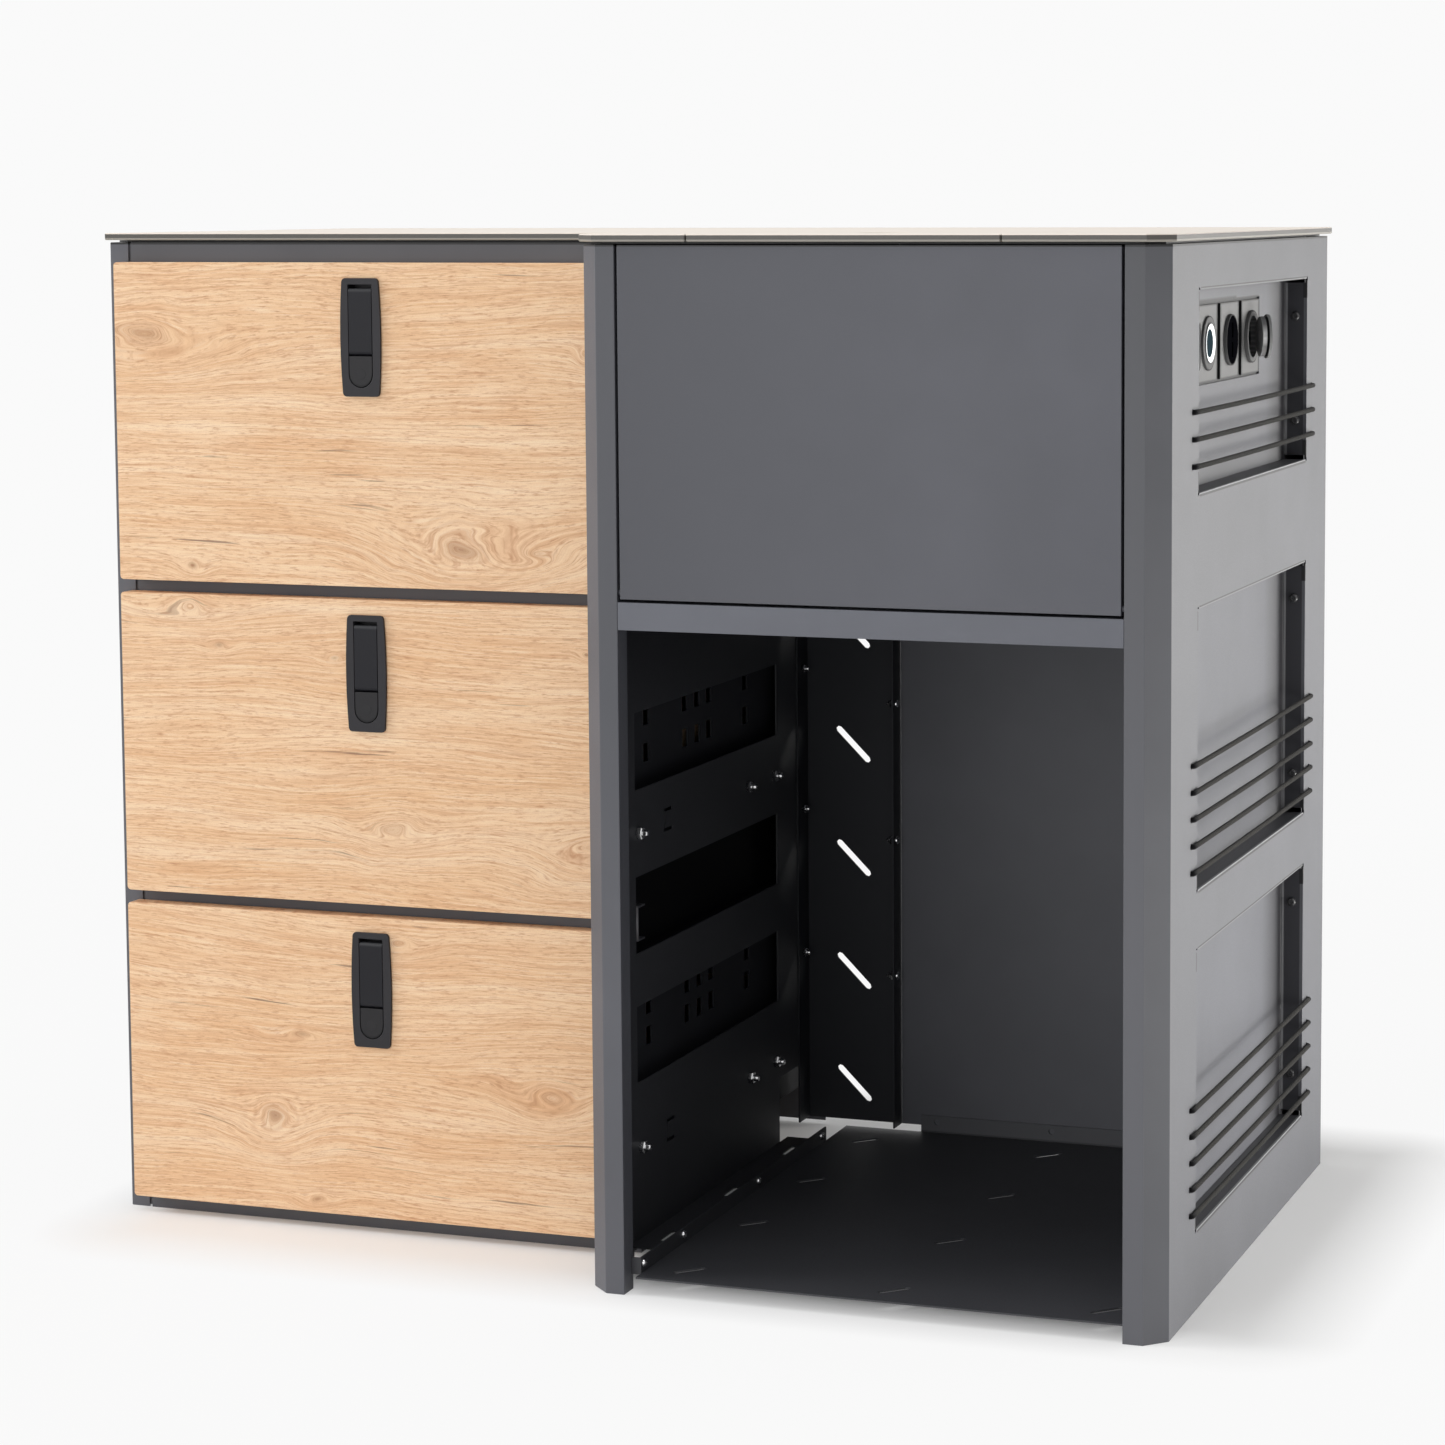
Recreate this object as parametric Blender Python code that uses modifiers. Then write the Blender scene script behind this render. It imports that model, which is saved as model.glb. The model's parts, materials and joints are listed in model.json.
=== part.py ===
"""Campervan kitchen pod: a folded-steel carcass with three oak-fronted drawers on the left and, on the
right, a deeper bay with a drop-down flap, an open fridge niche and a laced side wall with a power panel.
Metres, +X right, +Y back, +Z up. The origin is on the floor, under the middle of the worktop."""

import math

import bmesh
import bpy
from mathutils import Matrix, Vector

# Driving sizes of the whole pod
BODY_WIDTH = 0.984
BODY_DEPTH = 0.589
HEIGHT = 0.870
DRAWER_UNIT_WIDTH = 0.494
BAY_STEP = 0.119

# Sheet metal and fits
SHEET = 0.0015
SEAT = 0.0003
OVERRUN = 0.004
UNION_OVERLAP = 0.0007
WELD = 0.00005
BEVEL_ANGLE = math.radians(60.0)

# Worktop, its lid and the frame that carries them
WORKTOP_THICKNESS = 0.006
WORKTOP_OVERHANG = 0.0035
SHADOW_GAP = 0.002
FRAME_INSET = 0.006
FRAME_BORDER = 0.040
LID_WIDTH = 0.261
LID_DEPTH = 0.212
LID_OFFSET = 0.097
LID_CLEARANCE = 0.001
LID_LEDGE = 0.010
FINGER_HOLE_RADIUS = 0.021
WORKTOP_EDGE_BEVEL = 0.0008

# Folds of the side panels and of the two front columns
COLUMN_WIDTH = 0.0335
CHAMFER = 0.017
COLUMN_RETURN = 0.020
COLUMN_SIDE_DEPTH = 0.100
SIDE_FRONT_FLANGE = 0.018
REAR_FLANGE = 0.020

# Drawer unit
TOP_RAIL_SHOW = 0.0171
DRAWER_GAP = 0.0113
LOWEST_FRONT_RISE = 0.0141
UPPER_FRONT_SHARE = 0.3434
MIDDLE_FRONT_SHARE = 0.3281
FRONT_THICKNESS = 0.016
FRONT_SIDE_REVEAL = 0.0124
FRONT_DIVIDER_GAP = 0.0036
FRONT_BACK_GAP = 0.001
FRONT_CORNER_RADIUS = 0.003
FRONT_EDGE_BEVEL = 0.0006
RAIL_DEPTH = 0.015
RAIL_HEIGHT = 0.030
RAIL_SLIT = 0.0025
RAIL_TAB = 0.024
INNER_PANEL_SETBACK = 0.012
INNER_PANEL_RISE = 0.004
INNER_NOTCH_LENGTH = 0.105
INNER_NOTCH_TOP = 0.045

# Drawer boxes and slides
SLIDE_LENGTH = 0.440
SLIDE_START = 0.004
SLIDE_THICKNESS = 0.019
SLIDE_SHEET = 0.0012
OUTER_RAIL_HEIGHT = 0.053
OUTER_LIP_SETBACK = 0.0027
SLIDE_CLEARANCE = 0.0004
SLIDE_FOLD_GAP = 0.0008
INNER_RAIL_DEPTH = 0.014
BOX_DEPTH = 0.430
BOX_FOOT_GAP = 0.016
BOX_LATCH_GAP = 0.0152
BOX_WALL = 0.012
BOX_FLOOR = 0.006

# Push-button latches in the drawer fronts
LATCH_HEIGHT = 0.101
LATCH_WIDTH = 0.038
LATCH_END_WIDTH = 0.034
LATCH_DROP = 0.013
BEZEL_THICKNESS = 0.0025
BEZEL_CORNER_RADIUS = 0.003
BEZEL_CORNER_TURN = math.radians(60.0)
BEZEL_CORNER_STEPS = 2
LATCH_BODY_WIDTH = 0.030
LATCH_BODY_HEIGHT = 0.093
LATCH_BODY_DEPTH = 0.022
LATCH_CUT_CLEARANCE = 0.0004
RECESS_TOP = 0.0054
FINGER_GAP = 0.0034
RECESS_DEPTH = 0.014
LEVER_WIDTH = 0.0216
LEVER_HEIGHT = 0.0572
LEVER_THICKNESS = 0.007
LEVER_TIP_RADIUS = 0.002
LATCH_SIDE_GAP = 0.0005
LEVER_PIN_RADIUS = 0.0012
LEVER_PIN_REACH = 0.0015
PIN_CLEARANCE = 0.0003
BUTTON_HEIGHT = 0.027
BUTTON_THICKNESS = 0.008
BUTTON_STEM_RADIUS = 0.003

# Drop-down flap of the upper bay and the shelf under it
SHELF_OVER_FRONT = 0.0061
SHELF_RAIL_HEIGHT = 0.0225
SHELF_UPSTAND = 0.015
FLAP_SIDE_GAP = 0.0024
FLAP_BOTTOM_GAP = 0.0025
FLAP_TOP_GAP = 0.0005
FLAP_FLANGE = 0.015
FLAP_PIVOT_INSET = 0.005
FLAP_PIN_RADIUS = 0.0025
FLAP_PIN_REACH = 0.0065
FLAP_PIN_ROOT = 0.003

# Divider wall with its windows
DIVIDER_FRONT = 0.040
DIVIDER_FOOT_GAP = 0.0085
DIVIDER_NOTCH_LENGTH = 0.1365
DIVIDER_NOTCH_TOP = 0.0766
DIVIDER_WINDOW_FRONT = 0.106
DIVIDER_WINDOW_REAR = 0.138
DIVIDER_WINDOW_HEIGHT = 0.066
DIVIDER_WINDOW_SHARES = (0.1746, 0.3034, 0.4658)
TAB_SIZE = 0.020
TAB_SLOT = 0.003
TAB_DEPTH_SHARE = 0.307
TAB_HEIGHT_SHARES = (0.1090, 0.4246)
SLOT_WIDTH = 0.0127
SLOT_HEIGHT = 0.016
SLOT_DEPTH_SHARES = (0.277, 0.4295, 0.479, 0.528, 0.6825)
SLOT_HEIGHT_SHARES = (0.2065, 0.2378, 0.493, 0.530)

# Rear of the bay
BAY_BACK_SETBACK = 0.0575
VENT_WIDTH = 0.0943
VENT_LEFT_FLANGE = 0.028
VENT_RIGHT_FLANGE = 0.022
VENT_GAP = 0.0005
BACK_FOOT_GAP = 0.006
VENT_SLOT_LENGTH = 0.046
VENT_SLOT_WIDTH = 0.006
VENT_SLOT_PITCH = 0.1088
VENT_FIRST_SLOT = 0.057

# Floor of the niche
FLOOR_TOP = 0.0155
FLOOR_FRONT_INSET = 0.0018
FLOOR_UPSTAND = 0.016
FLOOR_UPSTAND_CUT = 0.075
FLOOR_HOLE_RADIUS = 0.003
FLOOR_HOLE_RISE = 0.010
FLOOR_HOLE_PITCH = 0.1125
FLOOR_HOLE_START = 0.016
FLOOR_HOLE_MARGIN = 0.010
FLOOR_SLOT_LENGTH = 0.030
FLOOR_SLOT_WIDTH = 0.006
FLOOR_SLOT_WIDTH_SHARES = (0.082, 0.502, 0.922)
FLOOR_SLOT_DEPTH_SHARES = (0.057, 0.311, 0.5645, 0.818)
BASE_RAIL_WIDTH = 0.0392
BASE_RAIL_HEIGHT = 0.0125
BASE_RAIL_FRONT = 0.0145
BASE_RAIL_LENGTH = 0.458
BASE_RAIL_NOSE = 0.070
BASE_SLOT_LENGTH = 0.032
BASE_SLOT_WIDTH = 0.006
BASE_SLOT_SHARES = (0.240, 0.568, 0.897)

# Laced side pockets
POCKET_DEPTH = 0.020
WINDOW_FRONT = 0.103
WINDOW_REAR = 0.085
WINDOW_TOP_MARGIN = 0.037
UPPER_WINDOW_SHARE = 0.261
UPPER_BAR = 0.0925
MIDDLE_WINDOW_SHARE = 0.367
LOWER_BAR = 0.049
WINDOW_BOTTOM_MARGIN = 0.0665
RELIEF_NOTCH = 0.0035
CORD_RADIUS = 0.0018
CORD_PITCH = 0.0216
CORD_HOLE_OFFSET = 0.020
CORD_HOLE_RADIUS = 0.0027
CORD_INNER_DEPTH = 0.0055
UPPER_CORD_RISE = 0.022
LOWER_CORD_RISE = 0.0168
UPPER_CORD_ROWS = 3
LOWER_CORD_ROWS = 5

# Power panel in the upper pocket
MODULE_PITCH_SHARE = 0.192
MODULE_WIDTH_SHARE = 0.857
MODULE_HEIGHT = 0.063
MODULE_RAISE = 0.0035
MODULE_COUNT = 4
MODULE_DROP = 0.0465
FIRST_MODULE_SHARE = 0.0798
PANEL_BORDER = 0.008
PANEL_CUT_CLEARANCE = 0.002
SOCKET_BEZEL_RADIUS = 0.0225
SOCKET_BEZEL_THICKNESS = 0.0025
SOCKET_BARREL_RADIUS = 0.0195
SOCKET_RECESS_RADIUS = 0.018
SOCKET_RECESS_DEPTH = 0.0065
SOCKET_BARREL_LENGTH = 0.028
SOCKET_BORE_RADIUS = 0.0105
SOCKET_BORE_DEPTH = 0.024
RING_BEZEL_RADIUS = 0.0225
RING_RADIUS = 0.0165
RING_GROOVE = 0.001
USB_BEZEL_RADIUS = 0.0215
USB_PORT_WIDTH = 0.005
USB_PORT_HEIGHT = 0.0125
USB_TONGUE_WIDTH = 0.002
USB_TONGUE_HEIGHT = 0.0105
USB_TONGUE_SETBACK = 0.001
USB_PORT_SPACING = 0.0165
USB_PORT_DEPTH = 0.010
HINGE_EAR = 0.004
HINGE_EAR_THICKNESS = 0.002
HINGE_SPREAD = 0.010
HINGE_PIN_RADIUS = 0.0008
CAP_RADIUS = 0.019
CAP_THICKNESS = 0.0024
CAP_PLUG_RADIUS = 0.0172
CAP_PLUG_HEIGHT = 0.0055
FRONT_CAP_OPEN_ANGLE = math.radians(16.0)
REAR_CAP_OPEN_ANGLE = math.radians(24.0)

# Facets of round shapes
CORNER_STEPS = 3
HOLE_SIDES = 8
DISC_SIDES = 24

# Planes worked out from the driving sizes
LEFT = -BODY_WIDTH / 2
RIGHT = BODY_WIDTH / 2
FRONT = -BODY_DEPTH / 2
BACK = BODY_DEPTH / 2
STEP = FRONT + BAY_STEP
SPLIT = LEFT + DRAWER_UNIT_WIDTH
WORKTOP_BOTTOM = HEIGHT - WORKTOP_THICKNESS
PANEL_TOP = WORKTOP_BOTTOM - SHADOW_GAP
NICHE_LEFT = SPLIT + COLUMN_WIDTH
NICHE_RIGHT = RIGHT - COLUMN_WIDTH
DIVIDER_X = SPLIT + SHEET + SEAT
BAY_LEFT = DIVIDER_X + SHEET + SEAT
POCKET_BACK = RIGHT - POCKET_DEPTH
BAY_RIGHT = POCKET_BACK - SHEET - SEAT
BAY_BACK = BACK - BAY_BACK_SETBACK
INNER_PANEL_X = SPLIT - INNER_PANEL_SETBACK
DRAWER_LEFT = LEFT + SIDE_FRONT_FLANGE + SLIDE_FOLD_GAP + INNER_RAIL_DEPTH + SEAT
DRAWER_RIGHT = INNER_PANEL_X - SHEET - SLIDE_THICKNESS
FRONT_LEFT = LEFT + FRONT_SIDE_REVEAL
FRONT_RIGHT = SPLIT - FRONT_DIVIDER_GAP
LATCH_X = (FRONT_LEFT + FRONT_RIGHT) / 2
FRONT_BACK_Y = STEP - FRONT_BACK_GAP
FRONT_FACE_Y = FRONT_BACK_Y - FRONT_THICKNESS
UPPER_FRONT_TOP = PANEL_TOP - TOP_RAIL_SHOW
FRONTS_HEIGHT = UPPER_FRONT_TOP - LOWEST_FRONT_RISE - 2 * DRAWER_GAP
UPPER_FRONT_HEIGHT = UPPER_FRONT_SHARE * FRONTS_HEIGHT
MIDDLE_FRONT_HEIGHT = MIDDLE_FRONT_SHARE * FRONTS_HEIGHT
LOWER_FRONT_HEIGHT = FRONTS_HEIGHT - UPPER_FRONT_HEIGHT - MIDDLE_FRONT_HEIGHT
LEAST_FRONT_HEIGHT = min(UPPER_FRONT_HEIGHT, MIDDLE_FRONT_HEIGHT, LOWER_FRONT_HEIGHT)
BOX_HEIGHT = LEAST_FRONT_HEIGHT - LATCH_DROP - LATCH_HEIGHT - BOX_LATCH_GAP - BOX_FOOT_GAP
MIDDLE_FRONT_TOP = UPPER_FRONT_TOP - UPPER_FRONT_HEIGHT - DRAWER_GAP
LOWER_FRONT_TOP = MIDDLE_FRONT_TOP - MIDDLE_FRONT_HEIGHT - DRAWER_GAP
DRAWERS = {
    "upper": (UPPER_FRONT_TOP - UPPER_FRONT_HEIGHT, UPPER_FRONT_TOP),
    "middle": (MIDDLE_FRONT_TOP - MIDDLE_FRONT_HEIGHT, MIDDLE_FRONT_TOP),
    "lower": (LOWEST_FRONT_RISE, LOWER_FRONT_TOP),
}
SHELF_TOP = UPPER_FRONT_TOP - UPPER_FRONT_HEIGHT + SHELF_OVER_FRONT
UPPER_WINDOW_TOP = PANEL_TOP - WINDOW_TOP_MARGIN
WINDOWS_HEIGHT = UPPER_WINDOW_TOP - UPPER_BAR - LOWER_BAR - WINDOW_BOTTOM_MARGIN
UPPER_WINDOW_HEIGHT = UPPER_WINDOW_SHARE * WINDOWS_HEIGHT
MIDDLE_WINDOW_HEIGHT = MIDDLE_WINDOW_SHARE * WINDOWS_HEIGHT
MIDDLE_WINDOW_TOP = UPPER_WINDOW_TOP - UPPER_WINDOW_HEIGHT - UPPER_BAR
LOWER_WINDOW_TOP = MIDDLE_WINDOW_TOP - MIDDLE_WINDOW_HEIGHT - LOWER_BAR
POCKETS = {
    "upper": (UPPER_WINDOW_TOP - UPPER_WINDOW_HEIGHT, UPPER_WINDOW_TOP, UPPER_CORD_RISE, UPPER_CORD_ROWS),
    "middle": (MIDDLE_WINDOW_TOP - MIDDLE_WINDOW_HEIGHT, MIDDLE_WINDOW_TOP, LOWER_CORD_RISE, LOWER_CORD_ROWS),
    "lower": (WINDOW_BOTTOM_MARGIN, LOWER_WINDOW_TOP, LOWER_CORD_RISE, LOWER_CORD_ROWS),
}
WINDOW_Y = (FRONT + WINDOW_FRONT, BACK - WINDOW_REAR)
WINDOW_LENGTH = WINDOW_Y[1] - WINDOW_Y[0]
FLAP_X = (NICHE_LEFT + FLAP_SIDE_GAP, NICHE_RIGHT - FLAP_SIDE_GAP)
FLAP_Z = (SHELF_TOP + FLAP_BOTTOM_GAP, PANEL_TOP - FLAP_TOP_GAP)
FLAP_AXIS = Vector(((NICHE_LEFT + NICHE_RIGHT) / 2, FRONT + FLAP_PIVOT_INSET, FLAP_Z[0] + FLAP_PIVOT_INSET))
LID_X = (SPLIT + LID_OFFSET, SPLIT + LID_OFFSET + LID_WIDTH)
FIRST_MODULE_Y = WINDOW_Y[0] + FIRST_MODULE_SHARE * WINDOW_LENGTH
MODULE_PITCH = MODULE_PITCH_SHARE * WINDOW_LENGTH
MODULE_WIDTH = MODULE_WIDTH_SHARE * MODULE_PITCH
MODULE_Z = UPPER_WINDOW_TOP - MODULE_DROP

# Colour, metallic share and roughness of each material
MATERIALS = {
    "powder_coat": ((0.118, 0.125, 0.135), 0.0, 0.55),
    "oak": ((0.730, 0.450, 0.240), 0.0, 0.50),
    "laminate": ((0.860, 0.800, 0.740), 0.0, 0.45),
    "plywood": ((0.640, 0.460, 0.280), 0.0, 0.60),
    "black_plastic": ((0.022, 0.022, 0.024), 0.0, 0.45),
    "grey_plastic": ((0.300, 0.300, 0.300), 0.0, 0.50),
    "zinc": ((0.550, 0.560, 0.570), 1.0, 0.35),
    "elastic": ((0.060, 0.052, 0.046), 0.0, 0.80),
}


def clear_scene():
    for obj in list(bpy.data.objects):
        bpy.data.objects.remove(obj, do_unlink=True)


def new_collection(name):
    made = bpy.data.collections.new(name)
    bpy.context.scene.collection.children.link(made)
    return made


def make_materials():
    made = {}
    for name, (colour, metallic, roughness) in MATERIALS.items():
        material = bpy.data.materials.new(name)
        material.use_nodes = True
        shader = material.node_tree.nodes["Principled BSDF"]
        shader.inputs["Base Color"].default_value = (*colour, 1.0)
        shader.inputs["Metallic"].default_value = metallic
        shader.inputs["Roughness"].default_value = roughness
        material.diffuse_color = (*colour, 1.0)
        made[name] = material
    return made


clear_scene()
PARTS = new_collection("kitchen_pod")
CUTTERS = new_collection("kitchen_pod_cutters")
MATERIAL = make_materials()


def add_object(name, data, material=None):
    """An object in the parts, or among the cutters when it has no material."""
    obj = bpy.data.objects.new(name, data)
    if material:
        PARTS.objects.link(obj)
        obj.data.materials.append(MATERIAL[material])
    else:
        CUTTERS.objects.link(obj)
        obj.hide_render = True
        obj.display_type = "WIRE"
    return obj


def mesh_object(name, shape, material=None):
    """Turns a bmesh into an object and frees it."""
    mesh = bpy.data.meshes.new(name)
    shape.to_mesh(mesh)
    shape.free()
    return add_object(name, mesh, material)


def add_box(shape, low, high):
    size = Vector(high) - Vector(low)
    middle = (Vector(high) + Vector(low)) / 2
    place = Matrix.Translation(middle) @ Matrix.Diagonal((*size, 1.0))
    bmesh.ops.create_cube(shape, size=1.0, matrix=place)


def box(name, low, high, material=None):
    return boxes(name, [(low, high)], material)


def boxes(name, corners, material=None):
    """One object of separate boxes, each given by its low and high corner."""
    shape = bmesh.new()
    for low, high in corners:
        add_box(shape, low, high)
    return mesh_object(name, shape, material)


TURN = {
    "x": Matrix.Rotation(math.pi / 2, 4, "Y"),
    "y": Matrix.Rotation(-math.pi / 2, 4, "X"),
    "z": Matrix.Identity(4),
}


def cylinders(name, middles, axis, radius, length, material=None, sides=HOLE_SIDES):
    """One object of separate cylinders along one axis."""
    shape = bmesh.new()
    for middle in middles:
        bmesh.ops.create_cone(
            shape, cap_ends=True, segments=sides, radius1=radius, radius2=radius, depth=length,
            matrix=Matrix.Translation(middle) @ TURN[axis],
        )
    return mesh_object(name, shape, material)


PLACE = {
    "x": lambda a, b, t: (t, a, b),
    "y": lambda a, b, t: (a, t, b),
    "z": lambda a, b, t: (a, b, t),
}


def folded(name, profile, axis, start, end, left, material="powder_coat", thickness=SHEET):
    """Sheet bent along an open profile, which is extruded along the axis. The metal lies to the left or
    to the right of the profile's direction, seen with its two coordinates drawn right and up."""
    shape = bmesh.new()
    first = [shape.verts.new(PLACE[axis](a, b, start)) for a, b in profile]
    last = [shape.verts.new(PLACE[axis](a, b, end)) for a, b in profile]
    for here in range(len(profile) - 1):
        shape.faces.new((first[here], first[here + 1], last[here + 1], last[here]))
    obj = mesh_object(name, shape, material)
    solid = obj.modifiers.new("sheet", "SOLIDIFY")
    solid.thickness = thickness
    solid.use_even_offset = True
    solid.offset = -1.0 if left == (axis != "y") else 1.0
    return obj


def outline(name, points, thickness, place, material=None):
    """A flat closed outline extruded on both sides of its plane, as a mesh."""
    curve = bpy.data.curves.new(name, "CURVE")
    curve.dimensions = "2D"
    curve.fill_mode = "BOTH"
    curve.extrude = thickness / 2
    spline = curve.splines.new("POLY")
    spline.points.add(len(points) - 1)
    for point, (a, b) in zip(spline.points, points):
        point.co = (a, b, 0.0, 1.0)
    spline.use_cyclic_u = True
    flat = add_object(name + "_outline", curve)
    bpy.context.view_layer.update()
    mesh = bpy.data.meshes.new_from_object(flat.evaluated_get(bpy.context.evaluated_depsgraph_get()))
    bpy.data.objects.remove(flat, do_unlink=True)
    shape = bmesh.new()
    shape.from_mesh(mesh)
    bmesh.ops.remove_doubles(shape, verts=shape.verts, dist=WELD)
    bmesh.ops.recalc_face_normals(shape, faces=shape.faces)
    shape.transform(place)
    bpy.data.meshes.remove(mesh)
    return mesh_object(name, shape, material)


def turned(name, profile, centre, axis_x, material, sides=DISC_SIDES):
    """A body turned about a line along X. The profile holds (radius, x) pairs from the outer end inwards."""
    shape = bmesh.new()
    rows = [shape.verts.new((radius, 0.0, along)) for radius, along in profile]
    for one, two in zip(rows, rows[1:]):
        shape.edges.new((one, two))
    obj = mesh_object(name, shape, material)
    obj.location = (axis_x, centre[0], centre[1])
    obj.rotation_euler = (0.0, math.pi / 2, 0.0)
    screw = obj.modifiers.new("turn", "SCREW")
    screw.axis = "Z"
    screw.steps = sides
    screw.render_steps = sides
    screw.use_merge_vertices = True
    screw.merge_threshold = WELD
    return obj


def combine(target, other, operation):
    if other.name in PARTS.objects:
        PARTS.objects.unlink(other)
        CUTTERS.objects.link(other)
        other.hide_render = True
        other.display_type = "WIRE"
    modifier = target.modifiers.new(other.name, "BOOLEAN")
    modifier.operation = operation
    modifier.object = other
    modifier.solver = "EXACT"


def cut(target, *cutters):
    for cutter in cutters:
        combine(target, cutter, "DIFFERENCE")


def join(target, *others):
    for other in others:
        combine(target, other, "UNION")


def bevel(obj, width):
    modifier = obj.modifiers.new("edge", "BEVEL")
    modifier.width = width
    modifier.limit_method = "ANGLE"
    modifier.angle_limit = BEVEL_ANGLE


def arc(centre, radius, start, end, steps):
    """Points on a circle from one angle to another, in radians."""
    turns = [start + (end - start) * step / steps for step in range(steps + 1)]
    return [(centre[0] + radius * math.cos(turn), centre[1] + radius * math.sin(turn)) for turn in turns]


def rounded_rectangle(low, high, radius, steps=CORNER_STEPS):
    points = []
    corners = (
        (high[0] - radius, high[1] - radius),
        (low[0] + radius, high[1] - radius),
        (low[0] + radius, low[1] + radius),
        (high[0] - radius, low[1] + radius),
    )
    for quarter, corner in enumerate(corners):
        start = quarter * math.pi / 2
        points += arc(corner, radius, start, start + math.pi / 2, steps)
    return points


def long_slot(length, width):
    """Outline of a slot with round ends, along the first direction."""
    reach = length / 2 - width / 2
    right_end = arc((reach, 0.0), width / 2, -math.pi / 2, math.pi / 2, CORNER_STEPS)
    left_end = arc((-reach, 0.0), width / 2, math.pi / 2, 3 * math.pi / 2, CORNER_STEPS)
    return right_end + left_end


UPRIGHT = Matrix.Rotation(math.pi / 2, 4, "X")
SIDEWAYS = Matrix.Rotation(math.pi / 2, 4, "Z") @ UPRIGHT


def on_front(y):
    """Places a flat outline drawn in X and Z on a plane of constant y."""
    return Matrix.Translation((0.0, y, 0.0)) @ UPRIGHT


def on_side(x):
    """Places a flat outline drawn in Y and Z on a plane of constant x."""
    return Matrix.Translation((x, 0.0, 0.0)) @ SIDEWAYS


def slots(target, name, places, length, width, thickness, turn):
    """Cuts round-ended slots, each turned by the given angle in its own plane."""
    for number, place in enumerate(places):
        spin = Matrix.Rotation(turn, 4, "Z")
        cut(target, outline(f"{name}_{number}", long_slot(length, width), thickness, place @ spin))


def pivot(name, place, angle=0.0):
    """An empty on a joint's axis, which carries the pieces that move about it."""
    empty = bpy.data.objects.new(name, None)
    PARTS.objects.link(empty)
    empty.location = place
    empty.rotation_euler = (0.0, 0.0, angle)
    return empty


def carry(empty, *pieces):
    """Hangs pieces, built in place, on an empty. Their meshes are moved so that they stay where they are."""
    for piece in pieces:
        piece.location = Vector(piece.location) - empty.location
        piece.parent = empty


def plan_outline(grow):
    """The stepped plan of the pod, grown on every side."""
    chamfer_shift = grow * math.tan(math.pi / 8)
    return [
        (LEFT - grow, BACK + grow),
        (LEFT - grow, STEP - grow),
        (SPLIT - grow, STEP - grow),
        (SPLIT - grow, FRONT + CHAMFER - chamfer_shift),
        (SPLIT + CHAMFER - chamfer_shift, FRONT - grow),
        (RIGHT - CHAMFER + chamfer_shift, FRONT - grow),
        (RIGHT + grow, FRONT + CHAMFER - chamfer_shift),
        (RIGHT + grow, BACK + grow),
    ]


def make_worktop():
    """Compact laminate top, the lift-out lid at its front edge, and the thin frame both rest on."""
    middle = WORKTOP_BOTTOM + WORKTOP_THICKNESS / 2
    plan = plan_outline(WORKTOP_OVERHANG)
    top = outline("worktop", plan, WORKTOP_THICKNESS, Matrix.Translation((0.0, 0.0, middle)), "laminate")
    front = FRONT - WORKTOP_OVERHANG
    lid_back = FRONT + LID_DEPTH
    cut(top, box(
        "lid_well",
        (LID_X[0] - LID_CLEARANCE, front - OVERRUN, WORKTOP_BOTTOM - OVERRUN),
        (LID_X[1] + LID_CLEARANCE, lid_back + LID_CLEARANCE, HEIGHT + OVERRUN),
    ))
    lid = box("worktop_lid", (LID_X[0], front, WORKTOP_BOTTOM), (LID_X[1], lid_back, HEIGHT), "laminate")
    hole = ((LID_X[0] + LID_X[1]) / 2, (FRONT + lid_back) / 2, middle)
    depth = WORKTOP_THICKNESS + 2 * OVERRUN
    cut(lid, cylinders("finger_hole", [hole], "z", FINGER_HOLE_RADIUS, depth, sides=DISC_SIDES))
    bevel(top, WORKTOP_EDGE_BEVEL)
    bevel(lid, WORKTOP_EDGE_BEVEL)
    carry(pivot("lid_lift", hole), lid)
    thickness = SHADOW_GAP - 2 * SEAT
    level = PANEL_TOP + SHADOW_GAP / 2
    place = Matrix.Translation((0.0, 0.0, level))
    frame = outline("worktop_frame", plan_outline(-FRAME_INSET), thickness, place, "powder_coat")
    low, high = level - OVERRUN, level + OVERRUN
    inner = FRAME_INSET + FRAME_BORDER
    cut(frame, boxes("frame_openings", [
        ((LEFT + inner, STEP + inner, low), (SPLIT - FRAME_BORDER, BACK - inner, high)),
        (
            (LID_X[0] + LID_LEDGE, FRONT + FRAME_INSET + LID_LEDGE, low),
            (LID_X[1] - LID_LEDGE, lid_back - LID_LEDGE, high),
        ),
        ((SPLIT + inner, lid_back + FRAME_BORDER, low), (RIGHT - inner, BACK - inner, high)),
    ]))


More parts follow.
